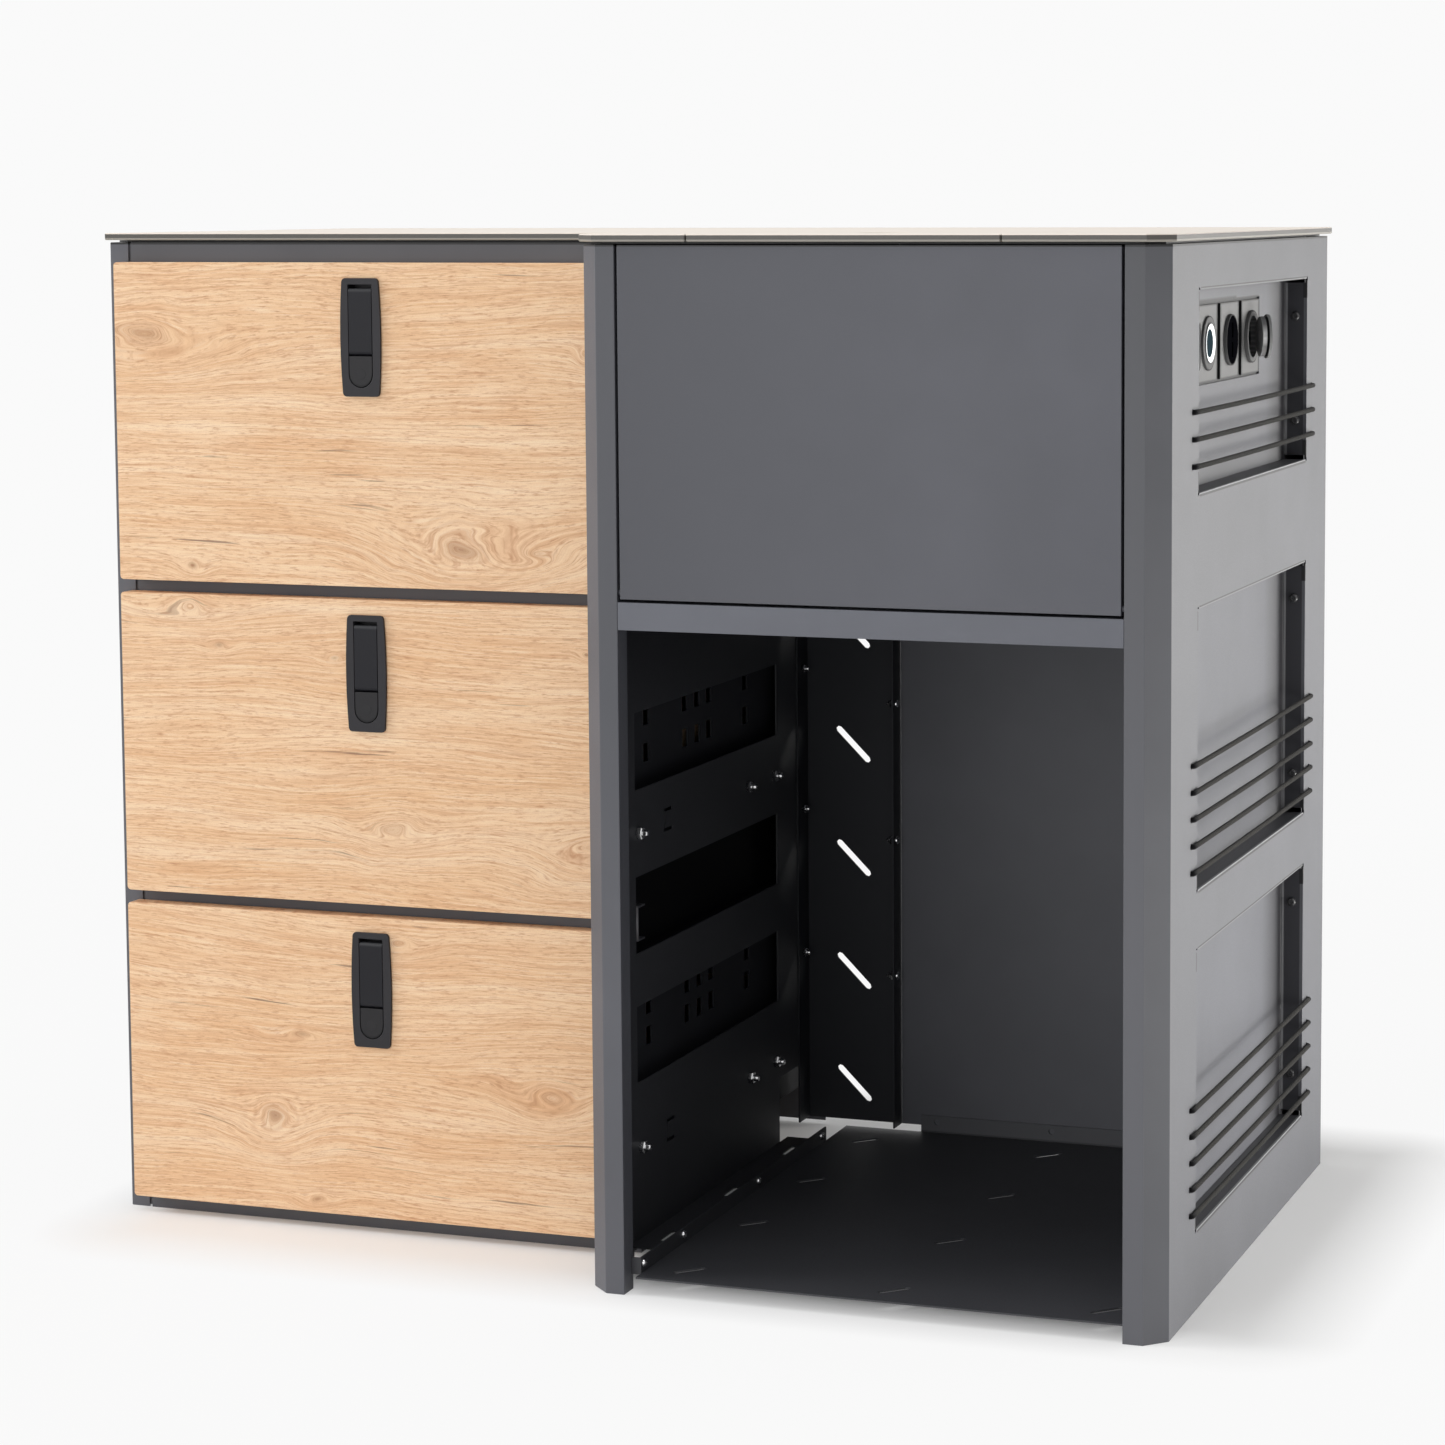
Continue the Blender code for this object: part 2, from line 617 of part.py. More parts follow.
def make_side_panels():
    """Outer skins of the pod: a plain left side, and a right side whose front fold is the right column."""
    folded(
        "left_side_panel",
        [(LEFT + SIDE_FRONT_FLANGE, STEP), (LEFT, STEP), (LEFT, BACK), (LEFT + REAR_FLANGE, BACK)],
        "z", 0.0, PANEL_TOP, left=False,
    )
    skin = folded(
        "right_side_panel",
        [
            (NICHE_RIGHT, FRONT + COLUMN_RETURN),
            (NICHE_RIGHT, FRONT),
            (RIGHT - CHAMFER, FRONT),
            (RIGHT, FRONT + CHAMFER),
            (RIGHT, BACK),
            (RIGHT - REAR_FLANGE, BACK),
        ],
        "z", 0.0, PANEL_TOP, left=True,
    )
    for name, (bottom, top, rise, rows) in POCKETS.items():
        add_window(skin, name, bottom, top)
        add_cord_holes(skin, name, bottom + rise, rows)
    cut(skin, flap_pin_hole("flap_pin_hole_right", NICHE_RIGHT))
    column = folded(
        "left_column",
        [
            (NICHE_LEFT, FRONT + COLUMN_RETURN),
            (NICHE_LEFT, FRONT),
            (SPLIT + CHAMFER, FRONT),
            (SPLIT, FRONT + CHAMFER),
            (SPLIT, FRONT + COLUMN_SIDE_DEPTH),
        ],
        "z", 0.0, PANEL_TOP, left=False,
    )
    cut(column, flap_pin_hole("flap_pin_hole_left", NICHE_LEFT))


def flap_pin_hole(name, x):
    place = (x, FLAP_AXIS.y, FLAP_AXIS.z)
    return cylinders(name, [place], "x", FLAP_PIN_RADIUS + PIN_CLEARANCE, 2 * OVERRUN)


def add_window(skin, name, bottom, top):
    """A window with its four edges folded in as flanges, and relief notches in its corners."""
    near, far = WINDOW_Y
    outer = RIGHT - SHEET + UNION_OVERLAP
    inner = POCKET_BACK + SEAT
    into = UNION_OVERLAP
    side_low, side_high = bottom + RELIEF_NOTCH, top - RELIEF_NOTCH
    flat_low, flat_high = near + RELIEF_NOTCH, far - RELIEF_NOTCH
    join(skin, boxes(f"{name}_window_flanges", [
        ((inner, near - SHEET, side_low), (outer, near + into, side_high)),
        ((inner, far - into, side_low), (outer, far + SHEET, side_high)),
        ((inner, flat_low, bottom - SHEET), (outer, flat_high, bottom + into)),
        ((inner, flat_low, top - into), (outer, flat_high, top + SHEET)),
    ]))
    cut(skin, box(f"{name}_window", (inner - OVERRUN, near, bottom), (RIGHT + OVERRUN, far, top)))
    half = RELIEF_NOTCH / 2
    cut(skin, boxes(f"{name}_window_reliefs", [
        ((RIGHT - SHEET - OVERRUN, y - half, z - half), (RIGHT + OVERRUN, y + half, z + half))
        for y in WINDOW_Y for z in (bottom, top)
    ]))


def cord_hole_places(x, first, rows):
    ends = (WINDOW_Y[0] - CORD_HOLE_OFFSET, WINDOW_Y[1] + CORD_HOLE_OFFSET)
    return [(x, y, first + row * CORD_PITCH) for row in range(rows) for y in ends]


def add_cord_holes(skin, name, first, rows):
    places = cord_hole_places(RIGHT - SHEET / 2, first, rows)
    cut(skin, cylinders(f"{name}_cord_holes", places, "x", CORD_HOLE_RADIUS, 2 * OVERRUN))


def make_cords():
    """Elastic cord laced through the holes beside each window, one unbroken length a pocket."""
    for name, (bottom, _, rise, rows) in POCKETS.items():
        outside = RIGHT + SEAT + CORD_RADIUS
        inside = RIGHT - SHEET - CORD_INNER_DEPTH
        near, far = (y for _, y, _ in cord_hole_places(RIGHT, bottom + rise, 1))
        points = [(inside - CORD_INNER_DEPTH, near, bottom + rise)]
        for row in range(rows):
            level = bottom + rise + row * CORD_PITCH
            start, end = (near, far) if row % 2 == 0 else (far, near)
            along = CORD_RADIUS if end > start else -CORD_RADIUS
            points.append((inside, start, level))
            points.append((outside - CORD_RADIUS, start, level))
            points.append((outside, start + along, level))
            points.append((outside, end - along, level))
            points.append((outside - CORD_RADIUS, end, level))
            points.append((inside, end, level))
        points.append((inside - CORD_INNER_DEPTH, points[-1][1], points[-1][2]))
        tube(f"{name}_pocket_cord", points, CORD_RADIUS)


def tube(name, points, radius):
    curve = bpy.data.curves.new(name, "CURVE")
    curve.dimensions = "3D"
    curve.bevel_depth = radius
    curve.bevel_resolution = 1
    curve.use_fill_caps = True
    spline = curve.splines.new("POLY")
    spline.points.add(len(points) - 1)
    for point, place in zip(spline.points, points):
        point.co = (*place, 1.0)
    return add_object(name, curve, "elastic")


def make_drawer_unit():
    """Rails, inner panel and back of the drawer unit."""
    web = STEP
    left_end = LEFT + SIDE_FRONT_FLANGE + RAIL_SLIT
    right_end = SPLIT - SEAT
    between = {
        "drawer_bottom_rail": (0.0, RAIL_HEIGHT),
        "drawer_lower_rail": rail_over(LOWER_FRONT_TOP),
        "drawer_upper_rail": rail_over(MIDDLE_FRONT_TOP),
        "drawer_top_rail": (PANEL_TOP - RAIL_HEIGHT, PANEL_TOP),
    }
    for name, (low, high) in between.items():
        back = web + RAIL_DEPTH
        profile = [(back, high), (web, high), (web, low), (back, low)]
        rail = folded(name, profile, "x", left_end, right_end, left=True)
        tab = web + SHEET + SEAT
        join(rail, box(
            f"{name}_tab",
            (LEFT + SHEET + SEAT, tab, low + SHEET + SEAT),
            (left_end + RAIL_TAB, tab + SHEET, high - UNION_OVERLAP),
            "powder_coat",
        ))
    panel_front = web + RAIL_DEPTH + SEAT
    back_plate = BACK - SHEET - SEAT
    panel = box(
        "drawer_inner_panel",
        (INNER_PANEL_X - SHEET, panel_front, INNER_PANEL_RISE),
        (INNER_PANEL_X, back_plate - SHEET - SEAT, PANEL_TOP),
        "powder_coat",
    )
    cut(panel, boxes("inner_panel_slots", [
        (
            (INNER_PANEL_X - SHEET - OVERRUN, FRONT + y * BODY_DEPTH, z * PANEL_TOP - SLOT_HEIGHT / 2),
            (INNER_PANEL_X + OVERRUN, FRONT + y * BODY_DEPTH + SLOT_WIDTH, z * PANEL_TOP + SLOT_HEIGHT / 2),
        )
        for y in SLOT_DEPTH_SHARES for z in SLOT_HEIGHT_SHARES
    ]))
    rear_notch("inner_panel_notch", panel, INNER_PANEL_X, INNER_NOTCH_LENGTH, INNER_NOTCH_TOP)
    box(
        "drawer_back_panel",
        (LEFT + SHEET + SEAT, back_plate - SHEET, INNER_PANEL_RISE),
        (DIVIDER_X - SEAT, back_plate, PANEL_TOP),
        "powder_coat",
    )


def rear_notch(name, panel, x, length, top):
    """Cuts the low rear corner off an upright panel."""
    cut(panel, box(name, (x - OVERRUN, BACK - length, -OVERRUN), (x + OVERRUN, BACK + OVERRUN, top)))


def rail_over(front_top):
    """Low and high edge of the rail behind the gap above a drawer front."""
    middle = front_top + DRAWER_GAP / 2
    return (middle - RAIL_HEIGHT / 2, middle + RAIL_HEIGHT / 2)


def make_divider():
    """Wall between the drawers and the bay, with three long windows and two punched tabs."""
    wall = box(
        "divider_panel",
        (DIVIDER_X, FRONT + DIVIDER_FRONT, DIVIDER_FOOT_GAP),
        (DIVIDER_X + SHEET, BACK, PANEL_TOP),
        "powder_coat",
    )
    near, far = FRONT + DIVIDER_WINDOW_FRONT, BACK - DIVIDER_WINDOW_REAR
    low, high = DIVIDER_X - OVERRUN, DIVIDER_X + SHEET + OVERRUN
    cut(wall, boxes("divider_windows", [
        ((low, near, share * PANEL_TOP), (high, far, share * PANEL_TOP + DIVIDER_WINDOW_HEIGHT))
        for share in DIVIDER_WINDOW_SHARES
    ]))
    rear_notch("divider_notch", wall, DIVIDER_X, DIVIDER_NOTCH_LENGTH, DIVIDER_NOTCH_TOP)
    y = FRONT + TAB_DEPTH_SHARE * BODY_DEPTH
    half, slot = TAB_SIZE / 2, TAB_SLOT
    for number, share in enumerate(TAB_HEIGHT_SHARES):
        z = share * PANEL_TOP
        ring = [
            (y + half, z + half),
            (y - half, z + half),
            (y - half, z - half),
            (y + half, z - half),
            (y + half, z - half + slot),
            (y - half + slot, z - half + slot),
            (y - half + slot, z + half - slot),
            (y + half, z + half - slot),
        ]
        cut(wall, outline(f"divider_tab_{number}", ring, SHEET + 2 * OVERRUN, on_side(DIVIDER_X + SHEET / 2)))


def make_shelf():
    """Shelf of the upper bay: its front edge is folded down as the rail between the columns."""
    level = SHELF_TOP
    shelf = folded(
        "bay_shelf",
        [
            (BAY_LEFT, level + SHELF_UPSTAND),
            (BAY_LEFT, level - SHEET),
            (BAY_RIGHT, level - SHEET),
            (BAY_RIGHT, level + SHELF_UPSTAND),
        ],
        "y", FRONT + COLUMN_RETURN + SEAT, BAY_BACK - SEAT, left=True,
    )
    bottom = level - SHELF_RAIL_HEIGHT
    rail = folded(
        "shelf_front_rail",
        [
            (FRONT + COLUMN_RETURN + RAIL_DEPTH, level),
            (FRONT, level),
            (FRONT, bottom),
            (FRONT + RAIL_DEPTH, bottom),
        ],
        "x", NICHE_LEFT + SEAT, NICHE_RIGHT - SEAT, left=True,
    )
    join(shelf, rail)


def make_flap():
    """Folded tray front, open at the back, with a pivot pin on each lower corner."""
    shape = bmesh.new()
    add_box(shape, (FLAP_X[0], FRONT, FLAP_Z[0]), (FLAP_X[1], FRONT + FLAP_FLANGE, FLAP_Z[1]))
    rear = max(shape.faces, key=lambda face: face.calc_center_median().y)
    bmesh.ops.delete(shape, geom=[rear], context="FACES")
    flap = mesh_object("front_flap", shape, "powder_coat")
    solid = flap.modifiers.new("sheet", "SOLIDIFY")
    solid.thickness = SHEET
    solid.offset = -1.0
    solid.use_even_offset = True
    length = FLAP_PIN_REACH + FLAP_PIN_ROOT
    for side, x, way in (("left", FLAP_X[0], -1), ("right", FLAP_X[1], 1)):
        middle = x + way * (FLAP_PIN_REACH - FLAP_PIN_ROOT) / 2
        place = (middle, FLAP_AXIS.y, FLAP_AXIS.z)
        join(flap, cylinders(f"flap_pin_{side}", [place], "x", FLAP_PIN_RADIUS, length, "zinc"))
    carry(pivot("flap_hinge", FLAP_AXIS), flap)


def make_bay_rear():
    """Vent strip, folded forward on both sides below the shelf, and the plain back of the bay beside it."""
    vent_right = BAY_LEFT + VENT_WIDTH
    bottom = FLOOR_TOP + BACK_FOOT_GAP
    vent = folded(
        "bay_vent_panel",
        [
            (BAY_LEFT, BAY_BACK - VENT_LEFT_FLANGE),
            (BAY_LEFT, BAY_BACK + SHEET),
            (vent_right, BAY_BACK + SHEET),
            (vent_right, BAY_BACK - VENT_RIGHT_FLANGE),
        ],
        "z", bottom, PANEL_TOP, left=False,
    )
    cut(vent, box(
        "vent_flange_cut",
        (BAY_LEFT - OVERRUN, BAY_BACK - VENT_LEFT_FLANGE - OVERRUN, SHELF_TOP - SHEET - SEAT),
        (vent_right + OVERRUN, BAY_BACK, PANEL_TOP + OVERRUN),
    ))
    middle = BAY_LEFT + VENT_WIDTH / 2
    places = []
    level = VENT_FIRST_SLOT
    while level + VENT_SLOT_LENGTH < PANEL_TOP:
        places.append(Matrix.Translation((middle, BAY_BACK, level)) @ UPRIGHT)
        level += VENT_SLOT_PITCH
    slots(vent, "vent_slot", places, VENT_SLOT_LENGTH, VENT_SLOT_WIDTH, 2 * OVERRUN, -math.pi / 4)
    low = (vent_right + VENT_GAP, BAY_BACK, bottom)
    box("bay_back_panel", low, (BAY_RIGHT, BAY_BACK + SHEET, PANEL_TOP), "powder_coat")


def make_floor():
    """Floor plate of the niche, folded up at the rear, and the rail along its left side."""
    left = BAY_LEFT + BASE_RAIL_WIDTH
    rear = BAY_BACK - SEAT - SHEET
    front = FRONT + FLOOR_FRONT_INSET
    floor = folded(
        "bay_floor",
        [(front, FLOOR_TOP), (rear, FLOOR_TOP), (rear, FLOOR_TOP + FLOOR_UPSTAND)],
        "x", left, BAY_RIGHT, left=False,
    )
    cut(floor, boxes("floor_corner_cuts", [
        (
            (NICHE_RIGHT - SEAT, front - OVERRUN, 0.0),
            (BAY_RIGHT + OVERRUN, FRONT + COLUMN_RETURN + SEAT, FLOOR_TOP + OVERRUN),
        ),
        (
            (left - OVERRUN, rear - SEAT, 0.0),
            (left + FLOOR_UPSTAND_CUT, rear + OVERRUN, FLOOR_TOP + FLOOR_UPSTAND + OVERRUN),
        ),
    ]))
    first = left + FLOOR_UPSTAND_CUT + FLOOR_HOLE_START
    holes = []
    while first < BAY_RIGHT - FLOOR_HOLE_MARGIN:
        holes.append((first, rear, FLOOR_TOP + FLOOR_HOLE_RISE))
        first += FLOOR_HOLE_PITCH
    cut(floor, cylinders("floor_upstand_holes", holes, "y", FLOOR_HOLE_RADIUS, 2 * OVERRUN))
    width = BAY_RIGHT - left
    places = [
        Matrix.Translation((left + across * width, FRONT + along * BODY_DEPTH, FLOOR_TOP))
        for across in FLOOR_SLOT_WIDTH_SHARES for along in FLOOR_SLOT_DEPTH_SHARES
    ]
    slots(floor, "floor_slot", places, FLOOR_SLOT_LENGTH, FLOOR_SLOT_WIDTH, 2 * OVERRUN, math.pi / 4)
    base_front = FRONT + BASE_RAIL_FRONT
    rail_right = left - SEAT
    under = FLOOR_TOP - SHEET
    profile = [(BAY_LEFT, under), (rail_right, under), (rail_right, FLOOR_TOP + BASE_RAIL_HEIGHT)]
    rail = folded("base_rail", profile, "y", base_front, base_front + BASE_RAIL_LENGTH, left=True)
    cut(rail, box(
        "base_rail_nose",
        (BAY_LEFT - OVERRUN, base_front - OVERRUN, 0.0),
        (rail_right - SHEET, base_front + BASE_RAIL_NOSE, FLOOR_TOP + BASE_RAIL_HEIGHT + OVERRUN),
    ))
    join(rail, box(
        "base_rail_front_fold",
        (NICHE_LEFT + SEAT, base_front, under),
        (rail_right - UNION_OVERLAP, base_front + SHEET, FLOOR_TOP + BASE_RAIL_HEIGHT),
        "powder_coat",
    ))
    middle = (BAY_LEFT + rail_right) / 2
    places = [
        Matrix.Translation((middle, base_front + share * BASE_RAIL_LENGTH, FLOOR_TOP))
        for share in BASE_SLOT_SHARES
    ]
    slots(rail, "base_slot", places, BASE_SLOT_LENGTH, BASE_SLOT_WIDTH, 2 * OVERRUN, math.pi / 2)


def drawer_box(name, low, high):
    """Open plywood box with a thin floor."""
    body = box(name, low, high, "plywood")
    inner_low = (low[0] + BOX_WALL, low[1] + BOX_WALL, low[2] + BOX_FLOOR)
    inner_high = (high[0] - BOX_WALL, high[1] - BOX_WALL, high[2] + OVERRUN)
    cut(body, box(f"{name}_inside", inner_low, inner_high))
    return body


def slide_rails(name, level):
    """Two-part slides on both sides: outer channels on the carcass, inner channels on the drawer box. The
    left outer channel is deeper, so that the inner one passes the front fold of the side panel."""
    start = STEP + SLIDE_START
    moving = []
    sides = (
        ("left", LEFT + SHEET + SEAT, DRAWER_LEFT - SEAT, 1),
        ("right", INNER_PANEL_X - SHEET - SEAT, DRAWER_RIGHT + SEAT, -1),
    )
    for side, wall, drawer, way in sides:
        half = OUTER_RAIL_HEIGHT / 2
        lip = drawer + way * (SEAT - OUTER_LIP_SETBACK)
        folded(
            f"{name}_outer_rail_{side}",
            [(lip, level + half), (wall, level + half), (wall, level - half), (lip, level - half)],
            "y", start, start + SLIDE_LENGTH, left=way > 0, material="zinc", thickness=SLIDE_SHEET,
        )
        half = OUTER_RAIL_HEIGHT / 2 - SLIDE_SHEET - SLIDE_CLEARANCE
        edge = drawer - way * INNER_RAIL_DEPTH
        moving.append(folded(
            f"{name}_inner_rail_{side}",
            [(edge, level + half), (drawer, level + half), (drawer, level - half), (edge, level - half)],
            "y", start, start + SLIDE_LENGTH, left=way < 0, material="zinc", thickness=SLIDE_SHEET,
        ))
    return moving


def bezel_outline(top):
    """Barrel-sided latch bezel, drawn in X and Z below the given top edge."""
    half_height = LATCH_HEIGHT / 2
    half_end = LATCH_END_WIDTH / 2
    bulge = (LATCH_WIDTH - LATCH_END_WIDTH) / 2
    radius = (half_height ** 2 + bulge ** 2) / (2 * bulge)
    spread = math.asin((half_height - BEZEL_CORNER_RADIUS) / radius)
    middle = top - half_height
    right_centre = (LATCH_X + half_end + bulge - radius, middle)
    left_centre = (LATCH_X - half_end - bulge + radius, middle)
    turn = BEZEL_CORNER_TURN
    steps = BEZEL_CORNER_STEPS
    points = arc(right_centre, radius, -spread, spread, 2 * CORNER_STEPS)
    inset = half_end - BEZEL_CORNER_RADIUS
    high = top - BEZEL_CORNER_RADIUS
    low = top - LATCH_HEIGHT + BEZEL_CORNER_RADIUS
    points += arc((LATCH_X + inset, high), BEZEL_CORNER_RADIUS, math.pi / 2 - turn, math.pi / 2, steps)
    points += arc((LATCH_X - inset, high), BEZEL_CORNER_RADIUS, math.pi / 2, math.pi / 2 + turn, steps)
    points += arc(left_centre, radius, math.pi - spread, math.pi + spread, 2 * CORNER_STEPS)
    points += arc((LATCH_X - inset, low), BEZEL_CORNER_RADIUS, 3 * math.pi / 2 - turn, 3 * math.pi / 2, steps)
    points += arc((LATCH_X + inset, low), BEZEL_CORNER_RADIUS, 3 * math.pi / 2, 3 * math.pi / 2 + turn, steps)
    return points


def button_outline(top, bottom, half_width):
    """Square-topped shape with a round bottom."""
    round_end = arc((LATCH_X, bottom + half_width), half_width, -math.pi, 0.0, 3 * CORNER_STEPS)
    return [(LATCH_X + half_width, top), (LATCH_X - half_width, top)] + round_end


def make_latch(name, front_top):
    """Flush latch: housing through the drawer front, hinged lever, and push button under it."""
    top = front_top - LATCH_DROP
    face = FRONT_FACE_Y - SEAT - BEZEL_THICKNESS
    recess_top = top - RECESS_TOP
    lever_top = recess_top - FINGER_GAP
    lever_bottom = lever_top - LEVER_HEIGHT
    button_bottom = lever_bottom - BUTTON_HEIGHT
    half = LEVER_WIDTH / 2
    place = on_front(face + BEZEL_THICKNESS / 2)
    housing = outline(f"{name}_latch_housing", bezel_outline(top), BEZEL_THICKNESS, place, "black_plastic")
    middle = top - LATCH_HEIGHT / 2
    body_back = face + BEZEL_THICKNESS + LATCH_BODY_DEPTH
    join(housing, box(
        f"{name}_latch_body",
        (LATCH_X - LATCH_BODY_WIDTH / 2, face + UNION_OVERLAP, middle - LATCH_BODY_HEIGHT / 2),
        (LATCH_X + LATCH_BODY_WIDTH / 2, body_back, middle + LATCH_BODY_HEIGHT / 2),
        "black_plastic",
    ))
    recess = button_outline(recess_top, button_bottom - LATCH_SIDE_GAP, half + LATCH_SIDE_GAP)
    cut(housing, outline(f"{name}_latch_recess", recess, 2 * RECESS_DEPTH, on_front(face)))
    axis_y = face + LEVER_THICKNESS / 2
    axis_z = lever_bottom + LEVER_THICKNESS / 2
    pin_length = LEVER_WIDTH + 2 * LATCH_SIDE_GAP + 2 * LEVER_PIN_REACH
    axis = (LATCH_X, axis_y, axis_z)
    hole_radius = LEVER_PIN_RADIUS + PIN_CLEARANCE
    hole_length = pin_length + 2 * PIN_CLEARANCE
    cut(housing, cylinders(f"{name}_lever_pin_hole", [axis], "x", hole_radius, hole_length))
    stem_z = button_bottom + half
    stem_front = face + BUTTON_THICKNESS - UNION_OVERLAP
    stem_length = body_back - stem_front
    stem = (LATCH_X, (stem_front + body_back) / 2, stem_z)
    hole_radius = BUTTON_STEM_RADIUS + PIN_CLEARANCE
    cut(housing, cylinders(f"{name}_stem_hole", [stem], "y", hole_radius, stem_length + OVERRUN))
    radius = LEVER_THICKNESS / 2
    tip = LEVER_TIP_RADIUS
    side = arc((axis_y, axis_z), radius, math.pi, 2 * math.pi, 2 * CORNER_STEPS)
    side += [(face + LEVER_THICKNESS, lever_top)]
    side += arc((face + tip, lever_top - tip), tip, math.pi / 2, math.pi, CORNER_STEPS)
    lever = outline(f"{name}_latch_lever", side, LEVER_WIDTH, on_side(LATCH_X), "black_plastic")
    join(lever, cylinders(f"{name}_lever_pin", [axis], "x", LEVER_PIN_RADIUS, pin_length, "black_plastic"))
    shape = button_outline(lever_bottom - LATCH_SIDE_GAP, button_bottom, half)
    place = on_front(face + BUTTON_THICKNESS / 2)
    button = outline(f"{name}_latch_button", shape, BUTTON_THICKNESS, place, "black_plastic")
    name = f"{name}_button_stem"
    join(button, cylinders(name, [stem], "y", BUTTON_STEM_RADIUS, stem_length, "black_plastic"))
    return housing, lever, button, Vector(axis), Vector(stem)


def make_drawer(name, bottom, top):
    """Front, box, inner rails and latch of one drawer, all carried by the drawer's slide."""
    face = rounded_rectangle((FRONT_LEFT, bottom), (FRONT_RIGHT, top), FRONT_CORNER_RADIUS)
    middle_y = (FRONT_FACE_Y + FRONT_BACK_Y) / 2
    front = outline(f"{name}_drawer_front", face, FRONT_THICKNESS, on_front(middle_y), "oak")
    latch_middle = top - LATCH_DROP - LATCH_HEIGHT / 2
    half_width = LATCH_BODY_WIDTH / 2 + LATCH_CUT_CLEARANCE
    half_height = LATCH_BODY_HEIGHT / 2 + LATCH_CUT_CLEARANCE
    bevel(front, FRONT_EDGE_BEVEL)
    cut(front, box(
        f"{name}_latch_cutout",
        (LATCH_X - half_width, FRONT_FACE_Y - OVERRUN, latch_middle - half_height),
        (LATCH_X + half_width, FRONT_BACK_Y + OVERRUN, latch_middle + half_height),
    ))
    level = bottom + BOX_FOOT_GAP + BOX_HEIGHT / 2
    box_front = FRONT_BACK_Y + SEAT
    body = drawer_box(
        f"{name}_drawer_box",
        (DRAWER_LEFT, box_front, level - BOX_HEIGHT / 2),
        (DRAWER_RIGHT, box_front + BOX_DEPTH, level + BOX_HEIGHT / 2),
    )
    rails = slide_rails(f"{name}_drawer", level)
    housing, lever, button, lever_axis, stem = make_latch(name, top)
    lever_hinge = pivot(f"{name}_lever_hinge", lever_axis)
    button_slide = pivot(f"{name}_button_slide", stem)
    carry(lever_hinge, lever)
    carry(button_slide, button)
    slide = pivot(f"{name}_drawer_slide", (LATCH_X, box_front, level))
    carry(slide, front, body, housing, lever_hinge, button_slide, *rails)


def make_pocket_wall():
    """Flat inner panel behind the laced pockets, cut out for the power panel."""
    wall = box(
        "pocket_back_panel",
        (POCKET_BACK - SHEET, FRONT + COLUMN_RETURN + SEAT, SEAT),
        (POCKET_BACK, BACK - SHEET - SEAT, PANEL_TOP),
        "powder_coat",
    )
    low, high = power_panel_face()
    gap = PANEL_CUT_CLEARANCE
    cut(wall, box(
        "power_panel_cutout",
        (POCKET_BACK - SHEET - OVERRUN, low[0] - gap, low[1] - gap),
        (POCKET_BACK + OVERRUN, high[0] + gap, high[1] + gap),
    ))


def power_panel_face():
    """Low and high corner, in Y and Z, of the row of modules."""
    near = FIRST_MODULE_Y - MODULE_WIDTH / 2
    far = near + (MODULE_COUNT - 1) * MODULE_PITCH + MODULE_WIDTH
    return (near, MODULE_Z - MODULE_HEIGHT / 2), (far, MODULE_Z + MODULE_HEIGHT / 2)


def module_centre(number):
    return (FIRST_MODULE_Y + number * MODULE_PITCH, MODULE_Z)


def make_power_panel():
    """Carrier plate behind the pocket wall with four raised modules, and what each of them holds."""
    low, high = power_panel_face()
    plate_front = POCKET_BACK - SHEET - SEAT
    border = PANEL_BORDER
    plate = box(
        "power_panel",
        (plate_front - SHEET, low[0] - border, low[1] - border),
        (plate_front, high[0] + border, high[1] + border),
        "grey_plastic",
    )
    centres = [module_centre(number) for number in range(MODULE_COUNT)]
    half_width, half_height = MODULE_WIDTH / 2, MODULE_HEIGHT / 2
    join(plate, boxes("module_faces", [
        (
            (plate_front - UNION_OVERLAP, y - half_width, z - half_height),
            (plate_front - SHEET + MODULE_RAISE, y + half_width, z + half_height),
        )
        for y, z in centres
    ], "grey_plastic"))
    face = plate_front - SHEET + MODULE_RAISE
    holes = [(plate_front, y, z) for y, z in centres]
    radius = SOCKET_BARREL_RADIUS + SEAT
    cut(plate, cylinders("module_holes", holes, "x", radius, 2 * SOCKET_BARREL_LENGTH, sides=DISC_SIDES))
    make_socket("front_12v_socket", "front_socket_cap", centres[0], face + SEAT, FRONT_CAP_OPEN_ANGLE)
    make_ring("lit_ring_switch", centres[1], face + SEAT)
    make_usb("usb_socket", centres[2], face + SEAT)
    make_socket("rear_12v_socket", "rear_socket_cap", centres[3], face + SEAT, REAR_CAP_OPEN_ANGLE)


def flanged_profile(bezel_radius, front_steps):
    """Profile of a panel fitting from its front to its back, measured from the panel's face."""
    return front_steps + [
        (bezel_radius, 0.0),
        (SOCKET_BARREL_RADIUS, 0.0),
        (SOCKET_BARREL_RADIUS, -SOCKET_BARREL_LENGTH),
        (0.0, -SOCKET_BARREL_LENGTH),
    ]


